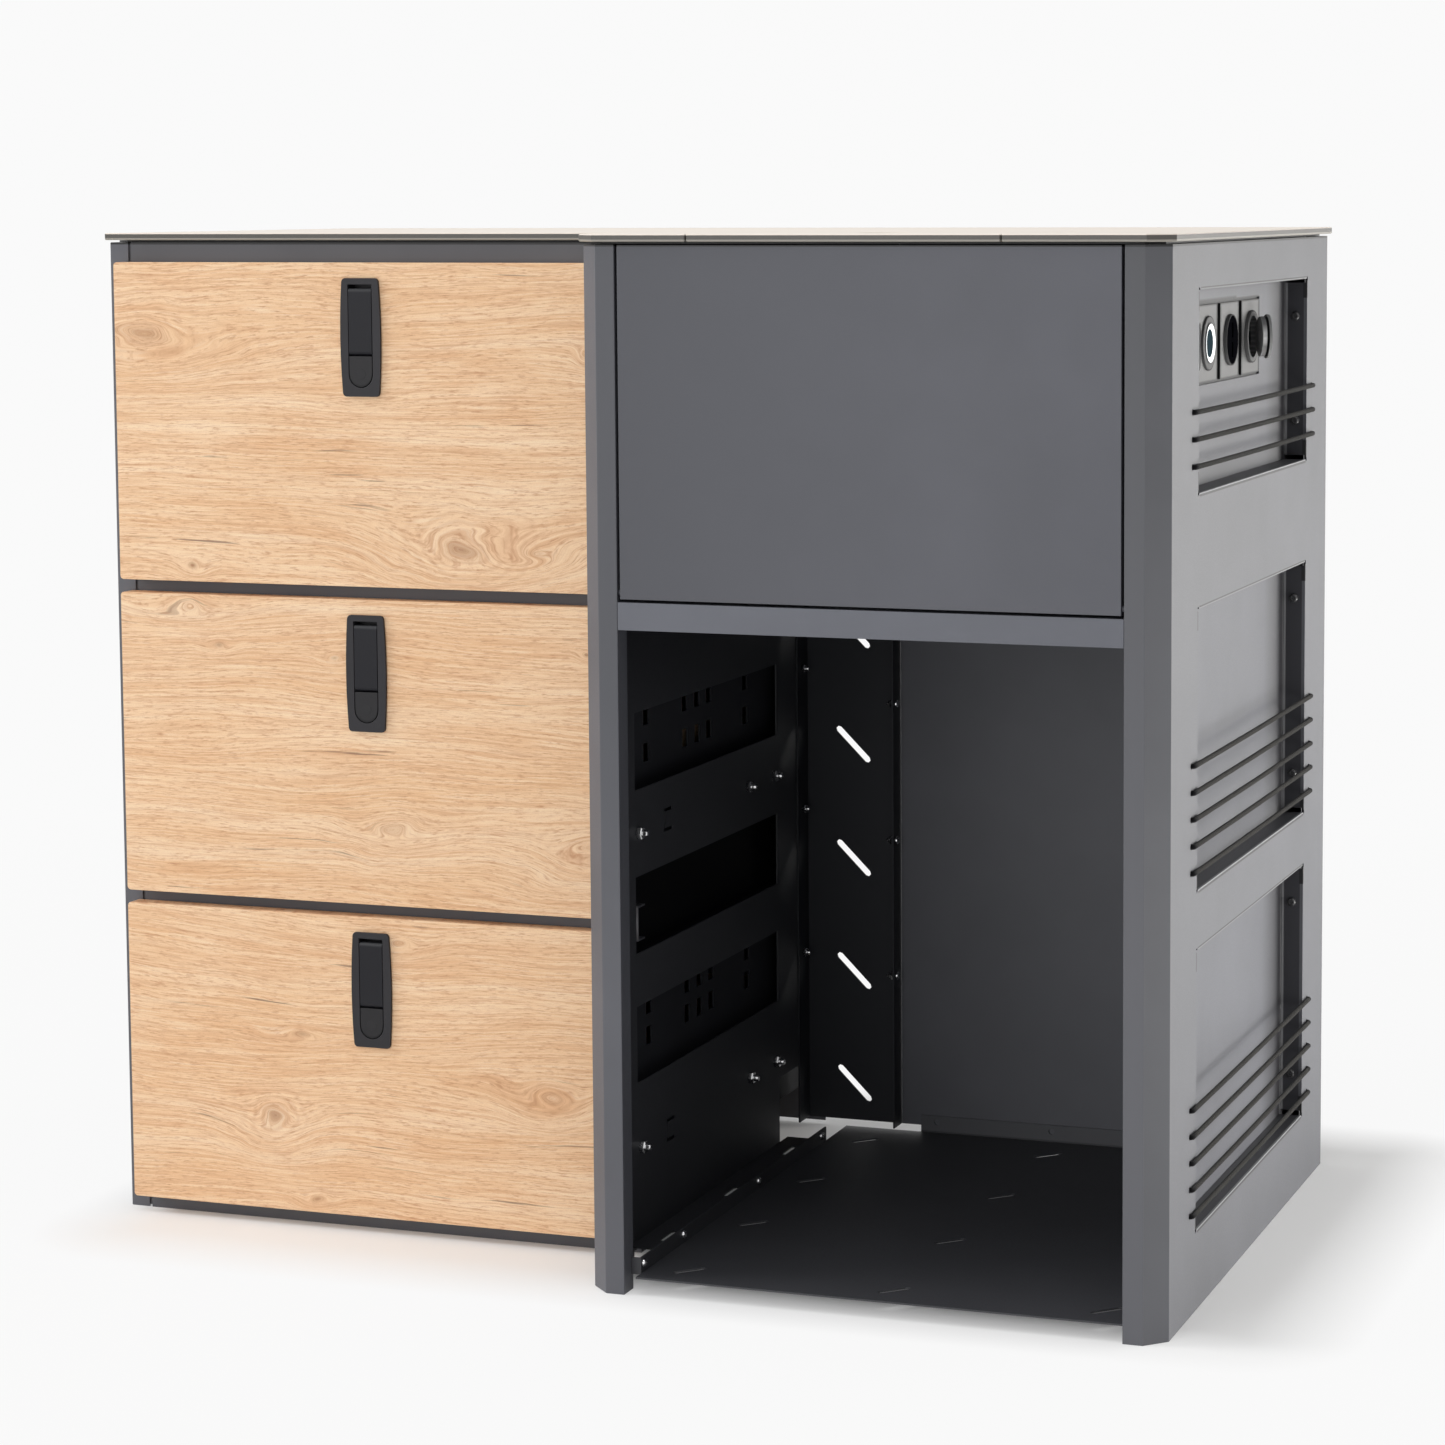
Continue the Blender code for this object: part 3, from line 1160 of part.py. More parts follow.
def make_socket(name, cap_name, centre, face, open_angle):
    """12 V socket with a recess, a bore behind it and a hinged cap, which the photograph shows ajar."""
    front = SOCKET_BEZEL_THICKNESS
    recess = front - SOCKET_RECESS_DEPTH
    steps = [
        (0.0, front - SOCKET_BORE_DEPTH),
        (SOCKET_BORE_RADIUS, front - SOCKET_BORE_DEPTH),
        (SOCKET_BORE_RADIUS, recess),
        (SOCKET_RECESS_RADIUS, recess),
        (SOCKET_RECESS_RADIUS, front),
        (SOCKET_BEZEL_RADIUS, front),
    ]
    socket = turned(name, flanged_profile(SOCKET_BEZEL_RADIUS, steps), centre, face, "black_plastic")
    cap_middle = face + front + SEAT + CAP_THICKNESS / 2
    axis = (cap_middle, centre[0] + SOCKET_BEZEL_RADIUS + HINGE_EAR / 2, centre[1])
    half = HINGE_SPREAD / 2
    ears = []
    for way in (-1, 1):
        near = centre[1] + way * half
        far = near + way * HINGE_EAR_THICKNESS
        ears.append((
            (face + UNION_OVERLAP, axis[1] - HINGE_EAR, min(near, far)),
            (axis[0] + HINGE_EAR / 2, axis[1] + HINGE_EAR / 2, max(near, far)),
        ))
    join(socket, boxes(f"{name}_ears", ears, "black_plastic"))
    pin_length = HINGE_SPREAD + 2 * HINGE_EAR_THICKNESS
    hole_radius = HINGE_PIN_RADIUS + PIN_CLEARANCE
    cut(socket, cylinders(f"{name}_pin_hole", [axis], "z", hole_radius, pin_length + 2 * OVERRUN))
    middle = (cap_middle, centre[0], centre[1])
    cap = cylinders(cap_name, [middle], "x", CAP_RADIUS, CAP_THICKNESS, "black_plastic", DISC_SIDES)
    cap_back = cap_middle - CAP_THICKNESS / 2
    plug = (cap_back - CAP_PLUG_HEIGHT / 2 + UNION_OVERLAP / 2, centre[0], centre[1])
    length = CAP_PLUG_HEIGHT + UNION_OVERLAP
    name = f"{cap_name}_plug"
    join(cap, cylinders(name, [plug], "x", CAP_PLUG_RADIUS, length, "black_plastic", DISC_SIDES))
    reach = half - SEAT
    arm_back = centre[0] + CAP_RADIUS - UNION_OVERLAP
    join(cap, box(
        f"{cap_name}_arm",
        (cap_back, arm_back - HINGE_EAR, centre[1] - reach),
        (cap_back + CAP_THICKNESS - SEAT, axis[1] + HINGE_PIN_RADIUS, centre[1] + reach),
        "black_plastic",
    ))
    join(cap, cylinders(f"{cap_name}_pin", [axis], "z", HINGE_PIN_RADIUS, pin_length, "black_plastic"))
    hinge = pivot(f"{cap_name}_hinge", axis, open_angle)
    cap.data.transform(Matrix.Translation(-Vector(axis)))
    cap.parent = hinge
    for modifier in cap.modifiers:
        modifier.object.data.transform(Matrix.Translation(-Vector(axis)))
        modifier.object.parent = hinge


def make_ring(name, centre, face):
    """Round switch with a raised ring that lights up."""
    front = SOCKET_BEZEL_THICKNESS
    groove = front - RING_GROOVE
    inner = RING_RADIUS - 2 * RING_GROOVE
    steps = [
        (0.0, groove),
        (inner, groove),
        (inner, front),
        (RING_RADIUS, front),
        (RING_RADIUS, groove),
        (RING_BEZEL_RADIUS, groove),
    ]
    turned(name, flanged_profile(RING_BEZEL_RADIUS, steps), centre, face, "grey_plastic")


def make_usb(name, centre, face):
    """Round double USB socket."""
    front = SOCKET_BEZEL_THICKNESS
    steps = [(0.0, front), (USB_BEZEL_RADIUS, front)]
    disc = turned(name, flanged_profile(USB_BEZEL_RADIUS, steps), centre, face, "black_plastic")
    bottom = face + front - USB_PORT_DEPTH
    sunk = face + front - USB_TONGUE_SETBACK
    ports = port_boxes(centre, USB_PORT_WIDTH, USB_PORT_HEIGHT, bottom, face + front + OVERRUN)
    cut(disc, boxes(f"{name}_ports", ports))
    tongues = port_boxes(centre, USB_TONGUE_WIDTH, USB_TONGUE_HEIGHT, bottom - UNION_OVERLAP, sunk)
    join(disc, boxes(f"{name}_tongues", tongues, "black_plastic"))


def port_boxes(centre, width, height, back, front):
    """Low and high corners of two upright boxes, one above the other, in a round fitting."""
    y, z = centre
    levels = (z - USB_PORT_SPACING / 2, z + USB_PORT_SPACING / 2)
    return [
        ((back, y - width / 2, level - height / 2), (front, y + width / 2, level + height / 2))
        for level in levels
    ]


def main():
    make_side_panels()
    make_drawer_unit()
    make_divider()
    make_shelf()
    make_flap()
    make_bay_rear()
    make_floor()
    make_pocket_wall()
    make_power_panel()
    make_cords()
    for name, (bottom, top) in DRAWERS.items():
        make_drawer(name, bottom, top)
    make_worktop()


main()
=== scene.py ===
import json
import math

import bmesh
import bpy
from mathutils import Matrix, Vector


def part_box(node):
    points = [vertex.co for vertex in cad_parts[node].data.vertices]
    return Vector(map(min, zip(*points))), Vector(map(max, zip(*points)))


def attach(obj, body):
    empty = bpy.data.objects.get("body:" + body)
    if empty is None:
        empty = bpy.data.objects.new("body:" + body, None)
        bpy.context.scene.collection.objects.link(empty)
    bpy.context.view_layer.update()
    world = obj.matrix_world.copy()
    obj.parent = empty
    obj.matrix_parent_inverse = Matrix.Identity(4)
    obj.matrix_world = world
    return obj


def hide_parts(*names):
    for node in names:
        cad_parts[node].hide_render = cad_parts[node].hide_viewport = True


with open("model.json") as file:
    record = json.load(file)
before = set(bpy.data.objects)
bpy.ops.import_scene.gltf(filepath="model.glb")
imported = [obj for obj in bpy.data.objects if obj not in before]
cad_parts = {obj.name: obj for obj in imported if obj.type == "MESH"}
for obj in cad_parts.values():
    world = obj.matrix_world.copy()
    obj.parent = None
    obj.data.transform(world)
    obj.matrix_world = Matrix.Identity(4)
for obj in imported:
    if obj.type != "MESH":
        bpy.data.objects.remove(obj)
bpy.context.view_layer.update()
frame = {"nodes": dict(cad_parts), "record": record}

NODES = frame["nodes"]
SLOT_OF = {part["node"]: part["material_slot"] for part in frame["record"]["subparts"]}
DRAWERS = ("upper", "middle", "lower")
QUARTER_TURN = math.pi / 2.0

# All lengths are in metres and all colours are linear light.

# Camera, solved from the photograph's edges: angles in radians, lens and sensor in millimetres
CAMERA_PLACE = (1.19463, -3.05735, 0.89873)
CAMERA_YAW = 0.32922
CAMERA_PITCH = 0.09434
CAMERA_ROLL = -0.00406
CAMERA_LENS = 92.654
CAMERA_SENSOR = 36.0
CAMERA_SHIFT = (-0.10132, -0.12)

# Light of the studio: strength of the diffuse light from all round, and the backdrop
AMBIENT = 0.28
BACKDROP = 1.0
BACKDROP_COLOUR = (0.955, 0.955, 0.955)

# Lamps, each with its place, its target, its diameter and its power in watts
LAMPS = (
    ("front_light", (-0.7, -4.2, 1.0), (0.0, 0.0, 0.45), 2.6, 42.0),
    ("left_light", (-3.9, -1.3, 1.9), (0.0, 0.0, 0.45), 1.8, 80.0),
    ("back_light", (3.3, 2.6, 0.5), (0.45, 0.0, 0.30), 2.2, 112.0),
    ("low_light", (1.25, 0.05, 0.06), (0.49, 0.0, 0.10), 0.5, 7.5),
    ("top_light", (-0.3, -0.6, 4.3), (0.0, 0.0, 0.3), 3.4, 70.0),
)
WARM_LAMPS = ("back_light", "low_light")

# Floor. It shows the backdrop's light, and less of it under the object: FLOOR_UNDER is the share
# inside the footprint, which is given by its half sizes and its shift. The share rises with the
# distance from the footprint, first to FLOOR_NEAR and then to one
FLOOR_SIZE = 60.0
FLOOR_COLOURS = ((0.90, 0.90, 0.90), (0.93, 0.93, 0.93))
FOOTPRINT = (0.49, 0.29)
FOOTPRINT_SHIFT = 0.05
FLOOR_UNDER = 0.08
FLOOR_NEAR = 0.96
FIRST_RISE = (0.0, 0.10)
SECOND_RISE = (0.3, 1.8)

WHITE = (1.0, 1.0, 1.0)
WARM = (1.0, 0.982, 0.945)
BLACK = (0.014, 0.014, 0.016)
SHADOW = (0.006, 0.006, 0.007)

# Powder-coated steel: its own colour, then shaded and lit copies of it, painted by where each is
# seen, and the colours of painted shade and highlights
STEEL = (0.099, 0.1015, 0.117)
# Shaded copy: the steel painted darker as the shade deep inside the niche and bay
STEEL_IN_SHADE = (0.040, 0.041, 0.047)
# Shaded copy: the rails painted darker as the shade under the worktop and drawer fronts
STEEL_RAIL_SHADED = (0.078, 0.079, 0.090)
# Shaded copy for the flap, and painted shade over its left part by the column
STEEL_FLAP_SHADED = (0.0925, 0.0950, 0.1130)
STEEL_FLAP_LEFT_SHADED = (0.0700, 0.0720, 0.0860)
# Painted shade over the top of the left column's front
STEEL_COLUMN_TOP_SHADED = (0.0780, 0.0800, 0.0925)
# Lit copy: the shelf's steel painted lighter as light
STEEL_SHELF_LIT = (0.124, 0.130, 0.154)
# Shaded copy for the right side panel; on its front post, a painted lit copy and painted shade at
# its top
STEEL_SIDE_SHADED = (0.0965, 0.0985, 0.1105)
STEEL_POST_LIT = (0.1200, 0.1220, 0.1370)
STEEL_POST_TOP_SHADED = (0.0770, 0.0790, 0.0890)
# Shaded copy: the vent painted darker as the shade at the back of the niche
STEEL_VENT_SHADED = (0.022, 0.023, 0.028)
STEEL_SHADE = (0.014, 0.0145, 0.018)
# Painted highlights along the windows' edges; on the rear lip, a painted shaded face and a painted
# highlight at its bend
STEEL_EDGE_HIGHLIGHT = (0.260, 0.265, 0.275)
STEEL_TOP_EDGE_HIGHLIGHT = (0.165, 0.168, 0.175)
# Lit copy: the face of the bay floor's upstand painted lighter as light
BAY_FLOOR_EDGE_LIT = (0.085, 0.087, 0.097)
LIP_SHADED = (0.030, 0.030, 0.036)
LIP_BEND_HIGHLIGHT = (0.230, 0.232, 0.242)
POCKET_SHADE = (0.018, 0.018, 0.021)
# Painted highlight at the bend by the pocket's rear flange
POCKET_BEND_HIGHLIGHT = (0.110, 0.111, 0.118)

OAK_PALE = (1.000, 0.800, 0.580)
OAK_LIGHT = (0.970, 0.705, 0.460)
OAK_BASE = (0.890, 0.585, 0.340)
OAK_BROWN = (0.800, 0.465, 0.245)
OAK_DARK = (0.590, 0.290, 0.150)
OAK_CRACK = (0.215, 0.105, 0.070)
OAK_KNOT = (0.370, 0.170, 0.085)

PLY_PALE = (0.720, 0.545, 0.350)
PLY_BROWN = (0.560, 0.390, 0.220)
PLY_DARK = (0.420, 0.270, 0.140)
PLY_EDGE = (0.330, 0.200, 0.100)

CREAM = (0.860, 0.770, 0.678)
CORE = (0.070, 0.065, 0.058)
LOWER_LAYER = (0.310, 0.290, 0.255)

ZINC_GREY = (0.55, 0.56, 0.57)
BRIGHT_GREY = (0.78, 0.78, 0.79)
SCREW_BLACK = (0.022, 0.022, 0.024)
BEZEL = (0.0240, 0.0230, 0.0262)
DISC = (0.0165, 0.0160, 0.0180)
BUTTON = (0.0175, 0.0168, 0.0188)
LEVER = (0.0125, 0.0125, 0.0160)
# Painted highlight along the lever's top bevel
LEVER_BEVEL_HIGHLIGHT = (0.045, 0.046, 0.050)
BRAID_DARK = (0.010, 0.010, 0.0095)
BRAID_PALE = (0.040, 0.038, 0.035)

MODULE_GREY = (0.145, 0.145, 0.146)
PLATE = (0.215, 0.215, 0.217)
# Thin dark ring, painted as the shade in a groove
GROOVE_SHADE = (0.030, 0.030, 0.030)
GLOW = (0.92, 0.98, 1.0)
# Cap rim and plug side painted pale grey, partly as reflection, and a painted highlight band on the
# plug
CAP_RIM_GREY_AND_REFLECTION = (0.34, 0.34, 0.342)
PLUG_GREY_AND_REFLECTION = (0.30, 0.30, 0.302)
PLUG_HIGHLIGHT = (0.90, 0.90, 0.90)

# Sockets of the node that mixes colours
MIX_INPUTS = (0, 6, 7)
MIX_OUTPUT = 2

# Range that a noise mostly keeps to, its middle, and the depth and strength of the finest bumps
NOISE_RANGE = (0.3, 0.7)
NOISE_MIDDLE = 0.5
FINE_BUMP = {"depth": 0.00005, "strength": 0.4}
MOULDED_BUMP = {"depth": 0.00006, "strength": 0.5}

# Shades of the mottle, as shares of the material's colour, and how far the roughness varies
COAT_SHADES = (0.92, 1.10)
COAT_VARIES = 0.05
MOULDED_SHADE = 1.18
MOULDED_VARIES = 0.06
ZINC_SHADE = 0.80
ZINC_VARIES = (-0.07, 0.10)
ZINC_WAVES = (900.0, 30.0, 900.0)
CREAM_SHADE = 0.95
CREAM_SHARES = (0.0, 0.35)
CORE_SHADE = 1.35

# Plywood: waves of its two noises, the ranges and shares of their tones, and the plies on an edge
PLY_FIGURE_WAVES = (9.0, 9.0, 90.0)
PLY_FIGURE_RANGE = (0.35, 0.68)
PLY_FINE_WAVES = (60.0, 60.0, 600.0)
PLY_FINE_RANGE = (0.5, 0.75)
PLY_FINE_SHARES = (0.0, 0.5)
PLY_ROUGHNESS = (0.38, 0.52)
PLIES_A_METRE = 420.0
DARK_PLY = 0.5
PLY_EDGE_SHARE = 0.55
UPWARD = 0.9

# Softness of the ends of painted detail
SOFT_LINE = 0.0002
SOFT_FOLD = 0.0003
SOFT_PATCH = 0.0004
SOFT_SLOPE = 0.004

# Levels at which the worktop's layers meet, and the shadow under it
UNDER_WORKTOP = (0.8602, 0.8700)
LOWER_LAYER_TOP = (0.8655, 0.8659)
CORE_TOP = (0.86915, 0.86925)

# Power panel: modules in a row, each with a round fitting at its middle
SOCKET_Y = {"front": -0.1595, "rear": 0.0715}
SOCKET_LEVEL = 0.7785
MODULE_COUNT = 4
MODULE_FIRST = -0.1595
MODULE_PITCH = 0.077
MODULE_WIDTH = 0.066
MODULE_HEIGHT = 0.063
MODULE_FACE = 0.4722
# Widths of the painted shade along the modules' sides and tops, and where painted shade behind
# their faces fades in
MODULE_SIDE_SHADE = 0.0060
MODULE_TOP_SHADE = 0.0016
MODULE_FACE_SHADE_FADE = (-0.0006, -0.0002)

# Rings of the round fittings, from the middle out: the radius where each starts, and its colour
RING_SOFT = 0.00015
SWITCH_RINGS = (
    (0.0, (0.030, 0.050, 0.062)), (0.0116, WHITE), (0.0159, PLATE), (0.0216, GROOVE_SHADE),
    (0.0220, MODULE_GREY),
)
USB_RINGS = (
    (0.0, (0.003, 0.003, 0.004)), (0.0204, MODULE_GREY), (0.0208, GROOVE_SHADE), (0.0211, MODULE_GREY),
)
SOCKET_RINGS = (
    (0.0, (0.004, 0.020, 0.015)), (0.0106, (0.006, 0.008, 0.008)),
    (0.0178, (0.230, 0.230, 0.232)), (0.0216, GROOVE_SHADE), (0.0220, MODULE_GREY),
)
SWITCH_ROUGHNESS = 0.35
FITTING_ROUGHNESS = 0.30
# The switch's lit ring: inner and outer radius, softness and strength
SWITCH_GLOW = (0.0121, 0.0156, 0.0005, 0.9)

# Socket caps. They stand ajar at rest, by an angle in degrees about a hinge beside the socket. The
# ranges are in the shut cap's frame: heights from the sockets' level, depths from the hinge, and
# radii from the middle
CAP_HINGE_X = 0.4765
CAP_HINGE_REACH = 0.0245
CAP_ANGLE = {"front": 16.0, "rear": 24.0}
# Painted highlight in a band across the plug's side
CAP_HIGHLIGHT_LEVEL = (-0.005, 0.008)
CAP_HIGHLIGHT_SOFT = 0.003
CAP_PLUG_DEPTH = (-0.0080, -0.0030)
CAP_PLUG_FACE = (-0.0064, -0.0062)
# The rim, painted pale grey partly as reflection
CAP_RIM_DEPTH = (-0.0012, 0.0016)
CAP_RIM_RADIUS = (0.0184, 0.0215)
CAP_SOFT = 0.0001
# The plug's face, painted pale, with a brighter painted highlight at its middle
CAP_FACE_HIGHLIGHT = ((0.0, (0.70, 0.70, 0.70)), (0.0050, (0.48, 0.48, 0.48)))

# Contacts in a socket: a turned pin, as (radius, X), and two leaves above and below the middle
PIN = ((0.0, 0.4512), (0.0030, 0.4512), (0.0030, 0.4555), (0.0022, 0.4566), (0.0, 0.4570))
PIN_SIDES = 16
LEAF_X = (0.4555, 0.4680)
LEAF_HALF_WIDTH = 0.0022
LEAF_HALF_THICKNESS = 0.0005
LEAF_REACH = 0.0098

# Pocket windows in the right side panel: their ends along Y, and the levels of each
WINDOW_FRONT = -0.1915
WINDOW_BACK = 0.2095
WINDOWS = ((0.664, 0.825), (0.345, 0.5715), (0.0665, 0.296))

# Painted light and shade at the windows' folded lips: ranges along X, and how far the painted
# highlight and shadow lines lie from the window's edges
LIP_X = (0.4725, 0.4906)
SKIN_X = (0.4900, 0.4925)
LIP_Y = (WINDOW_FRONT + 0.004, WINDOW_BACK - 0.002)
LIP_FOLD_SHADE = (-0.0008, 0.0022)
LOWER_HIGHLIGHT, LOWER_SHADOW = (-0.0010, 0.0002), (-0.0030, -0.0012)
UPPER_HIGHLIGHT, UPPER_SHADOW = (-0.0002, 0.0010), (0.0011, 0.0022)
REAR_LIP_SHADING = (((0.4725, 0.4890), 0.002, LIP_SHADED), ((0.4721, 0.4744), 0.001, LIP_BEND_HIGHLIGHT))
# Relief notches, painted dark as the shade in them
NOTCH_X = (0.4884, 0.4926)
NOTCH_INSET = 0.008
NOTCH_HALF_WIDTH = 0.0020
NOTCH_HALF_HEIGHT = 0.009

# Elastic cords laced over the windows: first level and number of rows of each. Outside and inside
# are X of the cord before and behind the panel, and the weave is in radians a metre
CORD_ROWS = {"upper": (0.6860, 3), "middle": (0.3618, 5), "lower": (0.0833, 5)}
CORD_RADIUS = 0.0021
CORD_SIDES = 12
CORD_OUTSIDE = 0.4941
CORD_INSIDE = 0.4850
CORD_TAIL = 0.0055
CORD_NEAR = -0.2115
CORD_FAR = 0.2295
CORD_PITCH = 0.0216
CORD_SAG = 0.0005
CORD_IN_HOLE = 0.006
CORD_HOLE_SOFT = 0.003
CORD_SMOOTH = 70.0
CORD_WEAVE = 5200.0
CORNER_STEPS = 4
RUN_STEPS = 6

# Edge rounding: width and segments
LATCH_ROUNDING = (0.0006, 3)
SHEET_ROUNDING = (0.0007, 2)
ROUNDED_SHEETS = ("left_side_panel", "left_column", "right_side_panel", "front_flap")
ROUNDING_ANGLE = 35.0
WELD_DISTANCE = 0.00001
SMOOTH_ANGLE = 40.0

# Latches: the painted highlight on the lever's bevel, from its top; the painted shade in the gap
# round the button's foot; and the disc on the button, as (radius, height) over its face
BEVEL_HIGHLIGHT_LEVELS = (-0.0026, 0.01)
BEVEL_HIGHLIGHT_SOFT = 0.0008
FOOT_RISE = 0.0012
FOOT_GAP_SHADE = (0.0008, 0.0004)
FOOT_SHADE_FADE = 0.002
DISC_RISE = 0.0112
DISC_SIDES = 32
BUTTON_DISC = (
    (0.0, -0.0002), (0.0046, -0.0002), (0.0044, 0.00012), (0.0024, 0.00020), (0.0, 0.00020),
)

# Noise layers of the oak's figure: waves a metre along X, Y and Z, detail and roughness
OAK_LAYERS = {
    "patch": ((4.0, 1.0, 18.0), 3.0, 0.60),
    "band": ((1.6, 20.0, 80.0), 3.0, 0.60),
    "streak": ((6.0, 40.0, 260.0), 3.0, 0.65),
    "grain": ((17.0, 60.0, 760.0), 3.0, 0.70),
    "pore": ((110.0, 60.0, 1100.0), 2.0, 0.60),
    "crack": ((6.0, 30.0, 150.0), 3.0, 0.60),
}
# Tones of the oak in the order in which they are laid: layer, range of its noise, share of the
# tone at the range's two ends, and colour
OAK_TONES = (
    ("band", (0.49, 0.68), (0.0, 0.42), OAK_BROWN),
    ("band", (0.30, 0.47), (0.45, 0.0), OAK_PALE),
    ("streak", (0.49, 0.70), (0.0, 0.62), OAK_BROWN),
    ("grain", (0.50, 0.70), (0.0, 0.55), OAK_DARK),
    ("grain", (0.30, 0.48), (0.60, 0.0), OAK_PALE),
    ("pore", (0.52, 0.72), (0.0, 0.75), OAK_DARK),
    ("speck", (0.50, 0.75), (0.0, 0.30), OAK_DARK),
    ("crack", (0.68, 0.74), (0.0, 0.70), OAK_CRACK),
)
OAK_PATCH = (0.36, 0.66)
OAK_ROUGHNESS = (0.46, 0.62)
# The two waves that bend the grain: waves a metre along X, Y and Z, and the height of the bend
WIDE_WAVE, WIDE_BEND = (2.4, 1.0, 8.0), 0.055
SMALL_WAVE, SMALL_BEND = (12.0, 1.0, 30.0), 0.0028
# Knots: how far one leans, how much of it is core, and its rings, in radians a metre
KNOT_LEAN = 1.2
KNOT_LIFT = 0.6
KNOT_CORE = 0.24
KNOT_SHARE = 0.8
RING_WAVES = 900.0
RING_WANDER = 22.0
RING_RANGE = (-0.4, 1.0)

# Knots of each drawer front: share across, share down, size, stretch, swirl and darkness
KNOTS = {
    "upper": (
        (0.705, 0.865, 0.040, 1.6, 0.45, 0.75), (0.030, 0.235, 0.034, 2.7, 0.34, 0.50),
        (0.157, 0.945, 0.010, 1.5, 0.20, 0.95), (0.935, 0.270, 0.009, 0.8, 0.25, 0.35),
        (0.840, 0.880, 0.016, 2.2, 0.20, 0.15),
    ),
    "middle": (
        (0.140, 0.040, 0.016, 3.0, 0.30, 0.0), (0.200, 0.165, 0.008, 2.0, 0.20, 0.70),
        (0.440, 0.190, 0.007, 2.0, 0.20, 0.50), (0.930, 0.150, 0.006, 1.3, 0.10, 0.95),
        (0.560, 0.740, 0.022, 2.2, 0.22, 0.25), (0.960, 0.770, 0.028, 2.6, 0.20, 0.12),
    ),
    "lower": (
        (0.290, 0.690, 0.026, 1.5, 0.42, 0.80), (0.850, 0.555, 0.020, 1.6, 0.32, 0.20),
        (0.965, 0.410, 0.006, 1.3, 0.10, 0.90), (0.380, 0.955, 0.009, 2.0, 0.20, 0.60),
        (0.350, 0.405, 0.010, 3.6, 0.25, 0.55), (0.550, 0.080, 0.012, 2.6, 0.20, 0.20),
    ),
}


def tinted(colour, factor):
    return tuple(channel * factor for channel in colour)


def around(middle, reach):
    return middle - reach, middle + reach


def moved(ends, by):
    return ends[0] + by, ends[1] + by


def patch(colour, soft, x=None, y=None, z=None):
    """Painted detail: a box with its own colour. It is open along an axis that has no range."""
    return (x, y, z), soft, colour


class Shader:
    """A procedural material: one Principled shader and the nodes that feed it."""

    def __init__(self, name, **values):
        self.material = bpy.data.materials.new(name)
        self.material.use_nodes = True
        self.tree = self.material.node_tree
        self.surface = self.tree.nodes["Principled BSDF"]
        self.set(**values)
        self.coordinates = self.node("ShaderNodeTexCoord").outputs
        self.places = self.coordinates["Object"]

    def put(self, socket, value):
        if isinstance(value, bpy.types.NodeSocket):
            self.tree.links.new(value, socket)
        elif isinstance(value, tuple) and len(value) == 3 and socket.type == "RGBA":
            socket.default_value = (*value, 1.0)
        else:
            socket.default_value = value

    def set(self, **values):
        for key, value in values.items():
            self.put(self.surface.inputs[key.replace("_", " ")], value)

    def node(self, kind, settings=None, **values):
        made = self.tree.nodes.new(kind)
        for key, value in (settings or {}).items():
            setattr(made, key, value)
        for key, value in values.items():
            self.put(made.inputs[key.replace("_", " ")], value)
        return made

    def math(self, operation, first, second=0.0):
        made = self.node("ShaderNodeMath", {"operation": operation})
        self.put(made.inputs[0], first)
        self.put(made.inputs[1], second)
        return made.outputs[0]

    def plus(self, first, second):
        return self.math("ADD", first, second)

    def minus(self, first, second):
        return self.math("SUBTRACT", first, second)

    def times(self, first, second):
        return self.math("MULTIPLY", first, second)

    def largest(self, first, second):
        return self.math("MAXIMUM", first, second)

    def distance(self, value, middle):
        """How far a value is from a middle, on either side."""
        return self.math("ABSOLUTE", self.minus(value, middle))

    def length(self, across, up):
        return self.math("SQRT", self.plus(self.times(across, across), self.times(up, up)))

    def blend(self, share, first, second):
        made = self.node("ShaderNodeMix", {"data_type": "RGBA"})
        for number, entry in zip(MIX_INPUTS, (share, first, second)):
            self.put(made.inputs[number], entry)
        return made.outputs[MIX_OUTPUT]

    def split(self, vector):
        parts = self.node("ShaderNodeSeparateXYZ", Vector=vector)
        return [parts.outputs[axis] for axis in "XYZ"]

    def axes(self):
        return self.split(self.places)

    def noise(self, scale, detail=2.0, roughness=0.5, places=None):
        values = {"Vector": places or self.places, "Scale": scale, "Detail": detail}
        return self.node("ShaderNodeTexNoise", Roughness=roughness, **values).outputs["Fac"]

    def spark(self):
        """The fine grain of moulded plastic."""
        return self.noise(scale=2600.0, roughness=0.6)

    def span(self, value, low, high, to_low=0.0, to_high=1.0):
        """Maps a value from one range to another, and holds it inside the second."""
        made = self.node("ShaderNodeMapRange", {"clamp": True})
        for number, entry in enumerate((value, low, high, to_low, to_high)):
            self.put(made.inputs[number], entry)
        return made.outputs[0]

    def spread(self, noise, to_low=0.0, to_high=1.0):
        """Maps the usual range of a noise to another."""
        return self.span(noise, *NOISE_RANGE, to_low, to_high)

    def within(self, value, low, high, soft):
        """One where a value lies in a range, with soft ends."""
        over = self.span(value, *around(low, soft))
        under = self.span(value, *around(high, soft), 1.0, 0.0)
        return self.times(over, under)

    def inside(self, ranges, soft):
        """One inside a box, open where a range is None. Softness is one value or one an axis."""
        share = 1.0
        softs = soft if isinstance(soft, tuple) else (soft, soft, soft)
        for value, ends, end_soft in zip(self.axes(), ranges, softs):
            if ends:
                share = self.times(share, self.within(value, *ends, end_soft))
        return share

    def bump(self, height, depth, strength):
        made = self.node("ShaderNodeBump", Height=height, Distance=depth, Strength=strength)
        self.set(Normal=made.outputs[0])


